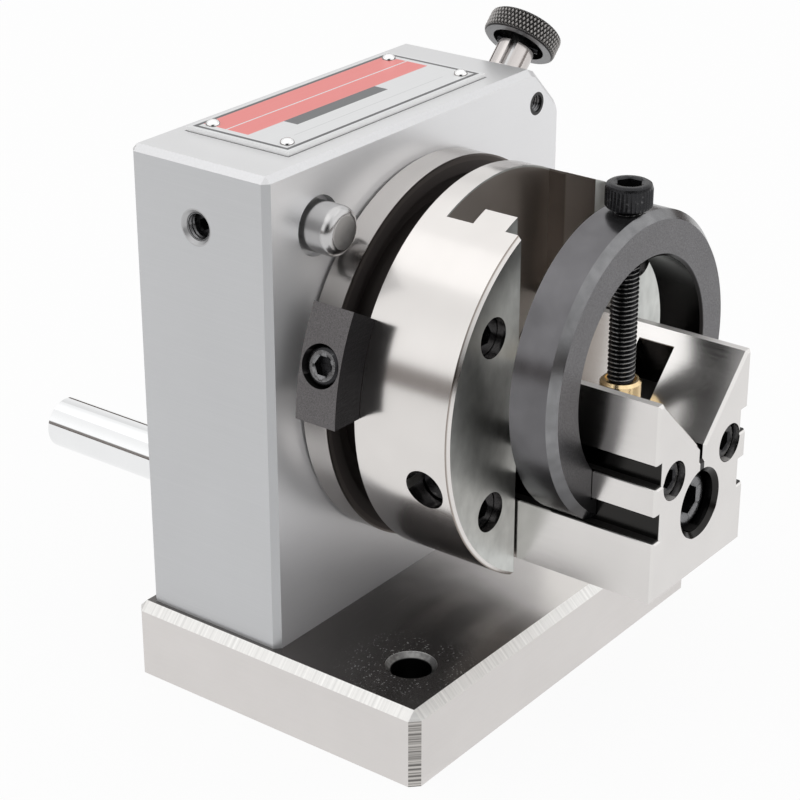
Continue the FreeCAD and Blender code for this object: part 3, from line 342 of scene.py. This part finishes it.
def head_finish():
    """Spindle and keepers: bright polished head, mottled face, painted shade in the groove and
    slot, a painted dark reflection on the rear flange and the front-edge chamfer.
    """
    steel = Finish("polished_head")
    turning = steel.noise((40, 0.14, 40), 2)
    cloud = steel.noise(9, 3)
    bright = steel.shade((0.71, 0.685, 0.665), cloud, 0.95, 1.04)
    mottle = steel.shade((0.58, 0.59, 0.57), steel.noise((3, 3, 5), 4), 0.7, 1.3)
    face = steel.step(steel.normal[1], -0.99, -0.95, 1, 0)
    bright = steel.mix(face, bright, mottle)
    y = steel.axes[1]
    radius = steel.reach((0, 0, AXIS_Z), FRONTWARD)
    inside = steel.within(radius, HEAD_INNER_RADIUS, 0.15)
    groove = steel.both(steel.band(y, GROOVE_FRONT, GROOVE_BACK, 0.1), inside)
    wall = steel.both(steel.band(y, FLANGE_FRONT - 0.3, FLANGE_FRONT, 0.1),
                      steel.beyond(radius, GROOVE_LIP_RADIUS, 0.1))
    # Painted shade in the groove, on its wall and in the slot.
    colour = steel.mix(groove, bright, (0.13, 0.115, 0.11))
    colour = steel.mix(wall, colour, (0.17, 0.15, 0.14))
    slot = steel.both(steel.band(y, SLOT_FRONT, SLOT_BACK, 0.3), inside)
    colour = steel.mix(slot, colour, (0.38, 0.34, 0.31))
    # Painted dark reflection on the rear flange, darkest between heights 70 and 96.
    rear = steel.both(steel.band(y, FLANGE_FRONT, 0, 0.1),
                      steel.beyond(radius, FLANGE_EDGE_RADIUS, 0.25))
    colour = steel.mix(steel.math("MULTIPLY", rear, 0.25), colour, (0.30, 0.28, 0.26))
    shadow = steel.both(rear, steel.band(steel.axes[2], 70, 96, 5))
    colour = steel.mix(steel.math("MULTIPLY", shadow, 0.85), colour, (0.14, 0.13, 0.125))
    # Painted dark reflection on the head's front-edge chamfer.
    lean = steel.math("ABSOLUTE", steel.normal[1])
    rim = steel.both(steel.step(lean, 0.4, 0.6), steel.step(lean, 0.9, 0.97, 1, 0),
                     steel.beyond(radius, HEAD_INNER_RADIUS + 0.2, 0.15),
                     steel.within(y, GROOVE_FRONT - 0.15, 0.15))
    colour = steel.mix(rim, colour, (0.30, 0.262, 0.235))
    rough = steel.math("ADD", steel.step(turning, 0.25, 0.75, 0.165, 0.185),
                       steel.math("MULTIPLY", face, 0.24))
    return steel.set(colour, steel.math("ADD", rough, steel.math("MULTIPLY", groove, 0.3)),
                     turning, 0.0003)


def block_finish():
    """Ground V-block with painted shade in its grooves, pad pocket, bolt mouth and relief slot,
    and a slight painted highlight on its chamfers.
    """
    steel = Finish("ground_block")
    lines = steel.noise((0.3, 18, 0.3), 3)
    cloud = steel.noise(10, 3)
    bright = steel.shade((0.71, 0.69, 0.675), cloud, 0.95, 1.05)
    x, y, z = steel.axes
    out = steel.math("ABSOLUTE", x)
    upper = steel.band(z, *UPPER_GROOVE, 0.1)
    lower = steel.band(z, *LOWER_GROOVE, 0.1)
    sides = steel.both(steel.math("MAXIMUM", upper, lower), steel.within(out, BLOCK_SIDE, 0.075),
                       steel.beyond(out, BLOCK_WEB), steel.beyond(y, BLOCK_FRONT + 0.15))
    flank = steel.math("SUBTRACT", z, out)
    pocket = steel.both(steel.within(flank, 68.5, 0.1), steel.band(y, *PAD_POCKET, 0.05),
                        steel.beyond(z, 73.3, 0.1), steel.within(out, 14.45))
    bolt = steel.both(steel.within(steel.reach((0, 0, CLAMP_BOLT_Z), FRONTWARD),
                                   CLAMP_BOLT_MOUTH, 0.075),
                      steel.beyond(y, BLOCK_FRONT, 0.02))
    dark = steel.math("MAXIMUM", sides, steel.math("MAXIMUM", pocket, bolt))
    relief = steel.both(steel.within(out, 0.825, 0.025), steel.band(z, *RELIEF, 0.1))
    # Slight painted highlight on the chamfers; painted shade in the side grooves, pad pocket,
    # bolt mouth and relief slot.
    colour = steel.mix(steel.math("MULTIPLY", steel.slope(), 0.3), bright, (0.80, 0.79, 0.77))
    colour = steel.mix(steel.math("MAXIMUM", dark, relief), colour, (0.03, 0.029, 0.028))
    land = steel.step(steel.normal[2], 0.95, 0.99)
    left = steel.step(steel.normal[0], -0.99, -0.95, 0.04, 0)
    rough = steel.math("ADD", steel.step(lines, 0.2, 0.8, 0.18, 0.22),
                       steel.math("ADD", left, steel.math("MULTIPLY", land, 0.2)))
    dull = steel.math("MULTIPLY", land, 0.5)
    steel.feed(steel.shader.inputs["Metallic"], steel.math("SUBTRACT", 1.0, dull))
    return steel.set(colour, rough, lines, 0.0002)


def black_finish():
    """Black oxide on steel, a little worn to bright metal."""
    steel = Finish("black_oxide", 0.85)
    speckle = steel.noise(0.25, 2)
    black = steel.shade((0.026, 0.026, 0.028), speckle, 0.6, 1.5)
    worn = steel.step(steel.noise(1.3, 4), 0.62, 0.74, 0, 0.3)
    colour = steel.mix(worn, black, (0.30, 0.30, 0.30))
    return steel.set(colour, steel.step(speckle, 0.2, 0.8, 0.22, 0.34), speckle, 0.01)


def glint_and_wear_finish():
    """Lighter speckled steel: a painted highlight with some wear on the flat rims round screw
    sockets, and painted glints on the threads in the dark holes.
    """
    steel = Finish("glint_and_wear_steel")
    speckle = steel.noise(0.5, 3)
    colour = steel.shade((0.20, 0.20, 0.205), speckle, 0.4, 1.6)
    return steel.set(colour, steel.step(speckle, 0.2, 0.8, 0.22, 0.36), speckle, 0.01)


def ring_finish():
    """Blackened ring: blasted front, smooth sides, painted highlight on the chamfers, painted
    shade towards the bottom and in the bore, scratches.
    """
    steel = Finish("blackened_ring", 0.9)
    speckle = steel.noise(0.3, 1)
    cloud = steel.noise(7, 3)
    front = steel.step(steel.normal[1], -0.97, -0.9, 1, 0)
    blasted = steel.shade((0.15, 0.147, 0.152), speckle, 0.35, 1.75)
    plain = steel.shade((0.145, 0.142, 0.149), cloud, 0.65, 1.3)
    colour = steel.mix(front, plain, blasted)
    # Painted highlight on the chamfers.
    rise = steel.math("ABSOLUTE", steel.normal[1])
    sloped = steel.both(steel.step(rise, 0.45, 0.6), steel.step(rise, 0.9, 0.97, 1, 0))
    chamfer_highlight = steel.shade((0.23, 0.23, 0.236), steel.noise(3, 3), 0.6, 1.35)
    colour = steel.mix(sloped, colour, chamfer_highlight)
    # Painted shade towards the bottom and on the bore's wall.
    low = steel.step(steel.axes[2], 52, 84, 0.9, 0)
    colour = steel.mix(low, colour, (0.035, 0.034, 0.036))
    radius = steel.reach((middle("clamp_ring").x / MM, 0, RING_CENTRE_Z), FRONTWARD)
    inside = steel.within(radius, RING_BORE_RADIUS, 0.15)
    colour = steel.mix(inside, colour, (0.018, 0.017, 0.017))
    scratch = steel.step(steel.noise((0.3, 7, 2.2), 2, (3, 1, 7)), 0.74, 0.76, 0, 0.3)
    colour = steel.mix(scratch, colour, (0.3, 0.3, 0.31))
    rough = steel.math("ADD", steel.step(cloud, 0.2, 0.8, 0.20, 0.26),
                       steel.math("MULTIPLY", front, 0.16))
    coarse = steel.math("ADD", steel.math("MULTIPLY", front, 0.9), 0.1)
    height = steel.math("MULTIPLY", speckle, coarse)
    return steel.set(colour, rough, height, 0.05)


def dog_finish():
    """Cast and ground block: grey speckled top, dark striated sides, painted shade in the screw
    bore.
    """
    steel = Finish("dark_dog", 0.5)
    steel.shader.inputs["Specular IOR Level"].default_value = 0.15
    speckle = steel.noise(0.26, 3)
    stripes = steel.noise((4, 4, 0.25), 2)
    face = steel.shade((0.135, 0.128, 0.13), speckle, 0.2, 1.8)
    side = steel.shade((0.017, 0.016, 0.017), stripes, 0.3, 2.0)
    flat = steel.step(steel.math("ABSOLUTE", steel.normal[1]), 0.8, 0.95)
    colour = steel.mix(flat, face, side)
    # Painted shade in the screw bore.
    radius = steel.reach((0, DOG_Y, AXIS_Z), DOG_OUT)
    bore_shade = steel.both(steel.within(radius, DOG_BORE_RADIUS, 0.03),
                      steel.step(flat, 0.1, 0.2, 1, 0))
    colour = steel.mix(bore_shade, colour, (0.012, 0.012, 0.012))
    return steel.set(colour, steel.step(speckle, 0.2, 0.8, 0.38, 0.55), speckle, 0.07)


def brass_finish():
    brass = Finish("turned_brass")
    turning = brass.noise((20, 20, 0.12), 2)
    colour = brass.shade((0.86, 0.66, 0.38), brass.noise(2.5, 3), 0.88, 1.1)
    return brass.set(colour, brass.step(turning, 0.2, 0.8, 0.16, 0.26), turning, 0.004)


def bronze_finish():
    bronze = Finish("bush_bronze")
    colour = bronze.shade((0.55, 0.36, 0.19), bronze.noise(3, 3), 0.85, 1.1)
    return bronze.set(colour, bronze.step(bronze.noise(0.5), 0.2, 0.8, 0.3, 0.4))


def chrome_finish():
    chrome = Finish("bright_chrome")
    haze = chrome.noise(6, 3)
    colour = chrome.shade((0.84, 0.845, 0.85), haze, 0.97, 1.03)
    return chrome.set(colour, chrome.step(haze, 0.3, 0.7, 0.05, 0.09))


def crank_finish():
    steel = Finish("satin_crank", 0.9)
    speckle = steel.noise(0.5, 3)
    colour = steel.shade((0.35, 0.35, 0.355), speckle, 0.85, 1.12)
    return steel.set(colour, steel.step(speckle, 0.2, 0.8, 0.35, 0.5), speckle, 0.01)


def plate_finish():
    """Name plate without words: printed red bands, a grey bar, a dark border line."""
    plate = Finish("printed_plate", 0.35)
    low, high = (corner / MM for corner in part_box("name_plate"))
    x, y, _ = plate.axes
    brushed = plate.noise((12, 0.12, 1), 3)
    silver = plate.shade((0.76, 0.765, 0.77), brushed, 0.94, 1.06)
    margin = 0.9
    line = 0.9

    def area(inset):
        return plate.both(plate.band(x, low.x + inset, high.x - inset, 0.03),
                          plate.band(y, low.y + inset, high.y - inset, 0.03))
    border = plate.math("SUBTRACT", area(margin), area(margin + line))
    split = high.y - margin - line
    red = (0.84, 0.235, 0.22)
    ends = plate.band(x, low.x + 3.4, high.x - 3.2, 0.05)
    stripe = 6.2
    bar_top = split - 2 * stripe
    bar_low = bar_top - 3.8
    first = plate.both(ends, plate.band(y, split - stripe, split, 0.04))
    second = plate.both(ends, plate.band(y, bar_top, split - stripe - 0.4, 0.04))
    bar = plate.both(plate.band(x, low.x + 15, high.x - 23, 0.05),
                     plate.band(y, bar_low, bar_top, 0.04))
    rules = plate.both(plate.step(plate.math("PINGPONG", y, 1.9), 0.1, 0.16, 1, 0),
                       plate.band(x, low.x + 9, high.x - 8, 0.05),
                       plate.band(y, low.y + 3.2, bar_low - 1, 0.05))
    colour = plate.mix(plate.math("MAXIMUM", first, second), silver, red)
    colour = plate.mix(bar, colour, (0.13, 0.135, 0.14))
    colour = plate.mix(plate.math("MULTIPLY", rules, 0.35), colour, (0.36, 0.365, 0.37))
    colour = plate.mix(border, colour, (0.10, 0.10, 0.105))
    # Painted highlight: the plate's edges near white.
    top = plate.step(plate.normal[2], 0.9, 0.98)
    colour = plate.mix(top, (0.92, 0.92, 0.92), colour)
    return plate.set(colour, plate.step(brushed, 0.2, 0.8, 0.29, 0.36))


base_finish().on("base_plate")
body_finish().on("body")
head_finish().on("spindle", "slot_keeper_left", "slot_keeper_right")
block_finish().on("v_block")
ring_finish().on("clamp_ring")
dog_finish().on("stop_dog")
brass_finish().on("clamp_pad")
bronze_finish().on("spindle_bush")
chrome_finish().on("crank_rod")
crank_finish().on("crank_arm")
plate_finish().on("name_plate")
polished_finish("ground_parts", (0.60, 0.59, 0.57), 0.23).on(
    "slide_plate", "index_ring", "thrust_washer", "crank_key", "spring_washer")
pin_steel = polished_finish("hardened_pins", (0.54, 0.535, 0.535), 0.23, (4, 4, 4))
pin_tip = polished_finish("pin_tip", (0.55, 0.545, 0.54), 0.34, (1, 1, 1))
pin_steel.on("stop_pin", "plunger_pin", "body_dowels")
polished_finish("polished_sleeve", (0.60, 0.565, 0.55), 0.16, (1, 1, 1)).on("plunger_sleeve")
rivet_steel = polished_finish("rivets", (0.88, 0.88, 0.88), 0.1, (3, 3, 3))
rivet_steel.on("name_plate_rivets")
polished_finish("spring_wire", (0.4, 0.4, 0.41), 0.3, (1, 1, 1)).on("plunger_spring")
oxide = black_finish()
oxide.on("body_screws", "pin_lock_screw", "sleeve_set_screw", "keeper_screws",
         "slide_side_screw", "index_ring_screws", "spindle_nut", "dog_nut", "dog_screw",
         "block_screws", "slide_clamp_screw", "clamp_screw", "plunger_knob", "cross_pin")
glint_and_wear = glint_and_wear_finish()


# Turned pieces with knurls, sockets and threads

def hexagon(across):
    """Radius at each angle of a hexagon with that width across its flats."""
    return lambda angle: across / 2 / math.cos((angle + math.pi / 6) % (math.pi / 3)
                                               - math.pi / 6)


def fluted(radius, depth, ridges):
    """Radius at each angle of a straight knurl."""
    return lambda angle: radius - depth * abs(math.sin(ridges * angle / 2))


def surface(name, rings, materials, axis, origin, second=(), closed=False):
    """A turned mesh: each ring is its distance along the axis and a radius, which is a
    number or follows the angle, and how many points it has. The ends are capped, or
    joined to each other if closed. The steps numbered in second get the second material."""
    count = max(ring[2] if len(ring) > 2 else 48 for ring in rings)
    turn = UP.rotation_difference(axis).to_matrix().to_4x4()
    place = Matrix.Translation(origin) @ turn
    points = []
    for height, radius, *_ in rings:
        for step in range(count):
            angle = 2 * math.pi * step / count
            reach = radius(angle) if callable(radius) else radius
            points.append(place @ (Vector((reach * math.cos(angle), reach * math.sin(angle),
                                           height)) * MM))
    faces = []
    pairs = list(zip(range(len(rings)), range(1, len(rings))))
    if closed:
        pairs.append((len(rings) - 1, 0))
    for lower, upper in pairs:
        for step in range(count):
            after = (step + 1) % count
            faces.append((lower * count + step, lower * count + after,
                          upper * count + after, upper * count + step))
    if not closed:
        faces.append(tuple(reversed(range(count))))
        last = (len(rings) - 1) * count
        faces.append(tuple(range(last, last + count)))
    mesh = bpy.data.meshes.new(name)
    mesh.from_pydata(points, [], faces)
    for material in materials:
        mesh.materials.append(material.data)
    for lower in second:
        for step in range(count):
            mesh.polygons[lower * count + step].material_index = 1
    made = bpy.data.objects.new(name, mesh)
    bpy.context.scene.collection.objects.link(made)
    return made


def smooth(thing):
    """Smooth shading, except at edges of more than 30 degrees."""
    mesh = thing.data
    mesh.shade_smooth()
    mesh.set_sharp_from_angle(angle=math.radians(30))
    return thing


def joined(first, *others):
    """Puts the others' meshes into the first object, each with its own materials."""
    with bpy.context.temp_override(active_object=first, object=first,
                                   selected_editable_objects=[first, *others]):
        bpy.ops.object.join()
    return first


def cap_screw(name, radius, height, key, shank, length, axis, origin, rim=(oxide, oxide)):
    """A cap screw whose head's underside is at the origin: straight knurl, rounded top edge
    and hexagon socket. The flat rim round the socket has the second material of rim."""
    ridges = 36
    count = ridges * 4
    knurl = fluted(radius, radius * 0.045, ridges)
    socket = hexagon(key)
    edge = radius * 0.16
    mouth = key * 0.64
    rings = [
        (-length, shank * 0.8), (-length + shank * 0.2, shank), (0, shank), (0, radius * 0.93),
        (edge * 0.5, knurl), (height - edge * 1.5, knurl), (height - edge * 1.2, radius * 0.985),
        (height - edge * 0.45, radius - edge * 0.35), (height - edge * 0.1, radius - edge * 0.9),
        (height, radius - edge * 1.4), (height, mouth), (height - 0.3, socket),
        (height - key * 0.55, socket), (height - key * 0.62, 0.05),
    ]
    flat = [index for index, ring in enumerate(rings[:-1])
            if ring[0] == height and rings[index + 1][0] == height]
    rings = [(level, size, count) for level, size in rings]
    return surface(name, rings, rim, axis, origin, flat + [flat[0] + 1])


def thread_profile(turn):
    """Height of a cut thread, from 0 at the root to 1 at the crest, once round its pitch."""
    return 1 - max(0.0, min(1.0, 2.4 * abs(turn - 0.5) - 0.1))


def helix(bottom, top, minor, major, pitch, fade=0.8):
    """Rings of a screw thread between two levels. It runs out over fade at its start."""
    steps = 12
    total = round((top - bottom) / pitch * steps)
    rings = []
    for step in range(total + 1):
        level = bottom + (top - bottom) * step / total
        share = min(1.0, (level - bottom) / fade) if fade else 1.0

        def radius(angle, level=level, share=share):
            turn = (level / pitch - angle / (2 * math.pi)) % 1.0
            return minor + (major - minor) * thread_profile(turn) * share
        rings.append((level, radius))
    return rings


def thread_finish():
    """Black thread with bright crests."""
    steel = Finish("black_thread", 0.9)
    radius = steel.reach(middle("clamp_screw") / MM, UP)
    crest = steel.step(radius, CLAMP_THREAD_RADIUS - 0.16, CLAMP_THREAD_RADIUS - 0.01, 0, 0.8)
    speckle = steel.noise(0.4, 2)
    black = steel.shade((0.026, 0.026, 0.028), speckle, 0.6, 1.4)
    colour = steel.mix(crest, black, (0.36, 0.355, 0.35))
    return steel.set(colour, steel.step(speckle, 0.2, 0.8, 0.24, 0.36))


def make_clamp_screw():
    """The ring's clamp screw with its knurled head, cut thread and plain nose."""
    low, high = (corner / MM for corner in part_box("clamp_screw"))
    centre = middle("clamp_screw") / MM
    head = 5.3
    under = high.z - head
    nose_top = low.z + 2.6
    axis_point = Vector((centre.x, centre.y, 0)) * MM
    nose = 2.1
    rings = [(low.z, nose - 0.3), (low.z + 0.3, nose), (nose_top - 0.01, nose)]
    rings += helix(nose_top, under, minor=2.42, major=CLAMP_THREAD_RADIUS, pitch=1.0)
    thread = surface("clamp_screw_threaded", rings, [thread_finish()], UP, axis_point)
    top = cap_screw("clamp_screw_head", radius=5.0, height=head, key=5.0,
                    shank=CLAMP_THREAD_RADIUS, length=0.5, axis=UP,
                    origin=Vector((centre.x, centre.y, under)) * MM)
    return joined(thread, top)


def knob_finish():
    """Blackened knob with bright knurl crests and painted reflected light on its underside."""
    steel = Finish("dark_knob", 0.7)
    speckle = steel.noise(0.3, 2)
    black = steel.shade((0.022, 0.021, 0.021), speckle, 0.6, 1.5)
    radius = steel.reach(middle("plunger_knob") / MM, OUTWARD)
    crest = steel.step(radius, KNOB_RADIUS - 0.38, KNOB_RADIUS - 0.1, 0, 0.9)
    colour = steel.mix(crest, black, (0.40, 0.385, 0.375))
    # Painted reflected light on the underside.
    down = steel.math("ADD", steel.normal[0], steel.normal[2])
    under = steel.both(steel.within(down, -1.34, 0.04),
                       steel.beyond(radius, KNOB_SINK - 0.025, 0.075))
    colour = steel.mix(under, colour, (0.27, 0.27, 0.275))
    return steel.set(colour, steel.step(speckle, 0.2, 0.8, 0.3, 0.42), speckle, 0.01)


def make_knob():
    """The plunger's knob with its diamond knurl and counterbored underside."""
    place = middle("plunger_knob") / MM
    radius = KNOB_RADIUS
    height = 5.1
    floor = 3.0
    depth = 0.5
    rows = 40
    knurls = 56
    rings = [(floor, 0.05), (floor, KNOB_SINK), (0.0, KNOB_SINK), (0.0, radius - 0.6),
             (0.3, radius - 0.25)]
    for row in range(rows + 1):
        level = 0.35 + (height - 0.7) * row / rows
        twist = 0.5 * level / radius

        def reach(angle, twist=twist):
            left = abs(math.sin(knurls / 2 * (angle + twist)))
            right = abs(math.sin(knurls / 2 * (angle - twist)))
            return radius - depth + depth * min(left, right)
        rings.append((level, reach))
    rings += [(height - 0.3, radius - 0.25), (height, radius - 0.6), (height, 3.3),
              (height - 0.15, 3.1), (height - 0.15, 0.05)]
    rings = [(level, size, knurls * 6) for level, size in rings]
    start = place * MM - OUTWARD * (height / 2 * MM)
    return surface("knurled_knob", rings, [knob_finish()], OUTWARD, start)


def make_stop_pin():
    """The stop pin, with its rounded end and a duller flat tip."""
    low, high = (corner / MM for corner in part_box("stop_pin"))
    centre = middle("stop_pin")
    radius = (high.x - low.x) / 2
    length = high.y - low.y
    tip = 3.7
    rounding = 2.2
    rings = [(0, 0.3), (0, radius - 1), (1, radius), (length - rounding, radius)]
    last = math.pi * 0.4
    for step in range(1, 9):
        angle = last * step / 8
        forward = rounding * math.sin(angle) / math.sin(last)
        inward = (radius - tip) * (1 - math.cos(angle)) / (1 - math.cos(last))
        rings.append((length - rounding + forward, radius - inward))
    flat = len(rings) - 1
    rings += [(length, tip - 0.3), (length, 0.02)]
    rings = [(level, size, 72) for level, size in rings]
    return surface("stop_pin_turned", rings, [pin_steel, pin_tip], FRONTWARD,
                   Vector((centre.x, high.y * MM, centre.z)), [flat, flat + 1])


def make_rivets():
    """Round heads over the name plate's four rivets."""
    low, high = (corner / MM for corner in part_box("name_plate_rivets"))
    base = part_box("name_plate")[1].z / MM
    radius = 1.65
    heads = []
    for x in (low.x + radius, high.x - radius):
        for y in (low.y + radius, high.y - radius):
            rings = [(0, 0.05), (0, radius)]
            for step in range(1, 8):
                angle = math.pi / 2 * step / 8
                rings.append(((high.z - base) * math.sin(angle), radius * math.cos(angle)))
            rings.append((high.z - base, 0.02))
            heads.append(surface("plate_rivet_heads", [(*ring, 32) for ring in rings],
                                 [rivet_steel], UP, Vector((x, y, base)) * MM))
    return joined(*heads)


def hole_thread(name, axis, origin, deep, mouth, radius, pitch):
    """The cut thread in a hole's mouth, a thin sleeve between two levels on its axis."""
    rings = helix(deep, mouth, radius + 0.03, radius - 0.28, pitch, 0)
    rings += [(mouth, radius + 0.04), (deep, radius + 0.04)]
    # Its lighter steel is a painted glint in the dark hole.
    return surface(name, rings, [glint_and_wear], axis, origin, closed=True)


def make_hole_threads():
    """Threads above the two set screws: the stop pin's on the left, the sleeve's in front."""
    lock = middle("pin_lock_screw")
    small = middle("sleeve_set_screw")
    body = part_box("body")[0] / MM
    left = hole_thread("screw_hole_threads", LEFTWARD, Vector((0, lock.y, lock.z)),
                       -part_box("pin_lock_screw")[0].x / MM + 0.1, -body.x - 0.7,
                       radius=3.0, pitch=1.0)
    front = hole_thread("sleeve_hole_thread", FRONTWARD, Vector((small.x, 0, small.z)),
                        -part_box("sleeve_set_screw")[0].y / MM + 0.1, -body.y - 0.4,
                        radius=2.0, pitch=0.7)
    return joined(left, front)


def put(piece, body, slot, *replaced):
    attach(smooth(piece), body)
    if replaced:
        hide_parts(*replaced)


put(make_clamp_screw(), "screw", "black_screws", "clamp_screw")
put(make_knob(), "plunger", "knob_steel", "plunger_knob")
put(make_stop_pin(), "stop", "pin_steel", "stop_pin")
put(make_hole_threads(), "housing", "body_steel")
put(make_rivets(), "housing", "rivet_metal", "name_plate_rivets")

dog_seat = (Vector((0, DOG_Y, AXIS_Z)) + DOG_OUT * DOG_SCREW_SEAT) * MM
# The socket's rim is painted lighter: a painted highlight with some wear.
put(cap_screw("dog_cap_screw", SMALL_HEAD_RADIUS, 4.6, SMALL_KEY, SMALL_SHANK_RADIUS,
              length=12, axis=DOG_OUT, origin=dog_seat, rim=(oxide, glint_and_wear)),
    "dog", "black_screws", "dog_screw")

low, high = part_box("block_screws")
head = 5
block_seat = low.y + head * MM
side = high.x - SMALL_HEAD_RADIUS * MM
pair = [cap_screw("block_cap_screws", SMALL_HEAD_RADIUS, head, SMALL_KEY, SMALL_SHANK_RADIUS,
                  length=42, axis=FRONTWARD,
                  origin=Vector((sign * side, block_seat, (low.z + high.z) / 2)))
        for sign in (-1, 1)]
put(joined(*pair), "slide", "black_screws", "block_screws")

low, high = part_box("slide_clamp_screw")
bolt_seat = Vector((0, low.y + CLAMP_BOLT_HEAD * MM, (low.z + high.z) / 2))
length = (high.y - low.y) / MM - CLAMP_BOLT_HEAD
# The socket's rim is painted lighter: a painted highlight with some wear.
put(cap_screw("block_clamp_bolt", radius=6.5, height=CLAMP_BOLT_HEAD, key=6.0, shank=4.0,
              length=length, axis=FRONTWARD, origin=bolt_seat, rim=(oxide, glint_and_wear)),
    "slide", "black_screws", "slide_clamp_screw")


# Studio

def make_floor():
    size = 3.0
    mesh = bpy.data.meshes.new("floor")
    mesh.from_pydata([(-size, -size, 0), (size, -size, 0), (size, size, 0), (-size, size, 0)],
                     [], [(0, 1, 2, 3)])
    floor = bpy.data.objects.new("floor", mesh)
    floor.location.z = -0.02 * MM
    bpy.context.scene.collection.objects.link(floor)
    white = bpy.data.materials.new("pale_floor")
    white.use_nodes = True
    tree = white.node_tree
    shader = tree.nodes["Principled BSDF"]
    shader.inputs["Base Color"].default_value = (0.86, 0.86, 0.86, 1)
    shader.inputs["Roughness"].default_value = 0.9
    shader.inputs["Specular IOR Level"].default_value = 0.1
    glow = tree.nodes.new("ShaderNodeEmission")
    glow.inputs["Color"].default_value = (1, 1, 1, 1)
    path = tree.nodes.new("ShaderNodeLightPath")
    seen = tree.nodes.new("ShaderNodeMath")
    seen.operation = "MAXIMUM"
    tree.links.new(path.outputs["Is Camera Ray"], seen.inputs[0])
    tree.links.new(path.outputs["Is Glossy Ray"], seen.inputs[1])
    share = tree.nodes.new("ShaderNodeMath")
    share.operation = "MULTIPLY"
    tree.links.new(seen.outputs[0], share.inputs[0])
    share.inputs[1].default_value = 0.92
    blend = tree.nodes.new("ShaderNodeMixShader")
    tree.links.new(share.outputs[0], blend.inputs[0])
    tree.links.new(shader.outputs[0], blend.inputs[1])
    tree.links.new(glow.outputs[0], blend.inputs[2])
    tree.links.new(blend.outputs[0], tree.nodes["Material Output"].inputs[0])
    mesh.materials.append(white)


def make_world():
    """White all round. Gloss sees it a little greyer below a bright ceiling, with a brown
    strip at the horizon and the dark of the room on the camera's side."""
    world = bpy.data.worlds.new("studio")
    bpy.context.scene.world = world
    world.use_nodes = True
    tree = world.node_tree

    def node(kind, *values, **settings):
        made = tree.nodes.new(kind)
        for name, value in settings.items():
            setattr(made, name, value)
        for socket, value in zip(made.inputs, values):
            if isinstance(value, bpy.types.NodeSocket):
                tree.links.new(value, socket)
            else:
                socket.default_value = value
        return made.outputs[0]

    def step(value, low, high, start, end):
        return node("ShaderNodeMapRange", value, low, high, start, end,
                    interpolation_type="SMOOTHSTEP")

    place = tree.nodes.new("ShaderNodeTexCoord").outputs["Generated"]
    height = tree.nodes.new("ShaderNodeSeparateXYZ")
    tree.links.new(place, height.inputs[0])
    height = height.outputs["Z"]
    toward = tree.nodes.new("ShaderNodeVectorMath")
    toward.operation = "DOT_PRODUCT"
    tree.links.new(place, toward.inputs[0])
    camera_side = Vector((-0.79, -0.56, 0.24)).normalized()
    toward.inputs[1].default_value = camera_side
    walls = node("ShaderNodeMath", step(height, 0.25, 0.7, 0.98, 0.86),
                 step(height, 0.70, 0.76, 0.0, 0.15), operation="ADD")
    dark = step(toward.outputs["Value"], 0.83, 0.98, 1.0, 0.04)
    room = node("ShaderNodeMath", walls, dark, operation="MULTIPLY")
    path = tree.nodes.new("ShaderNodeLightPath").outputs
    strength = node("ShaderNodeMath", room, path["Is Camera Ray"], operation="MAXIMUM")
    strip = node("ShaderNodeMath", step(height, 0.13, 0.20, 1.0, 0.0), path["Is Glossy Ray"],
                 operation="MULTIPLY")
    tint = tree.nodes.new("ShaderNodeMix")
    tint.data_type = "RGBA"
    tree.links.new(strip, tint.inputs[0])
    tint.inputs[6].default_value = (1, 1, 1, 1)
    tint.inputs[7].default_value = (0.05, 0.028, 0.018, 1)
    seen = node("ShaderNodeBackground", tint.outputs[2], strength)
    sky = node("ShaderNodeBackground", (1, 1, 1, 1), 0.8)
    clear = node("ShaderNodeMath", path["Is Camera Ray"], path["Is Glossy Ray"],
                 operation="MAXIMUM")
    clear = node("ShaderNodeMath", clear, path["Is Transmission Ray"], operation="MAXIMUM")
    blend = node("ShaderNodeMixShader", clear, sky, seen)
    tree.links.new(blend, tree.nodes["World Output"].inputs[0])


def lamp(name, place, size, power):
    """A square soft light that faces the object's middle."""
    data = bpy.data.lights.new(name, "AREA")
    data.size = size
    data.energy = power
    made = bpy.data.objects.new(name, data)
    made.location = place
    toward = LAMP_TARGET * MM - Vector(place)
    made.rotation_euler = toward.to_track_quat("-Z", "Y").to_euler()
    bpy.context.scene.collection.objects.link(made)


def make_camera():
    data = bpy.data.cameras.new("camera")
    data.lens = 102.6
    data.sensor_width = 36
    data.clip_start = 0.01
    camera = bpy.data.objects.new("camera", data)
    camera.location = (-0.37896, -0.28224, 0.27951)
    camera.rotation_euler = (math.radians(65.041), 0, math.radians(-52.717))
    bpy.context.scene.collection.objects.link(camera)
    bpy.context.scene.camera = camera


make_floor()
make_world()
lamp("key", (-0.75, 0.25, 0.7), size=1.6, power=1.6)
lamp("fill", (0.45, -0.8, 0.45), size=1.4, power=1.4)
lamp("top", (0.1, 0.15, 1.0), size=1.6, power=1.6)
make_camera()
bpy.context.scene.view_settings.view_transform = "Standard"
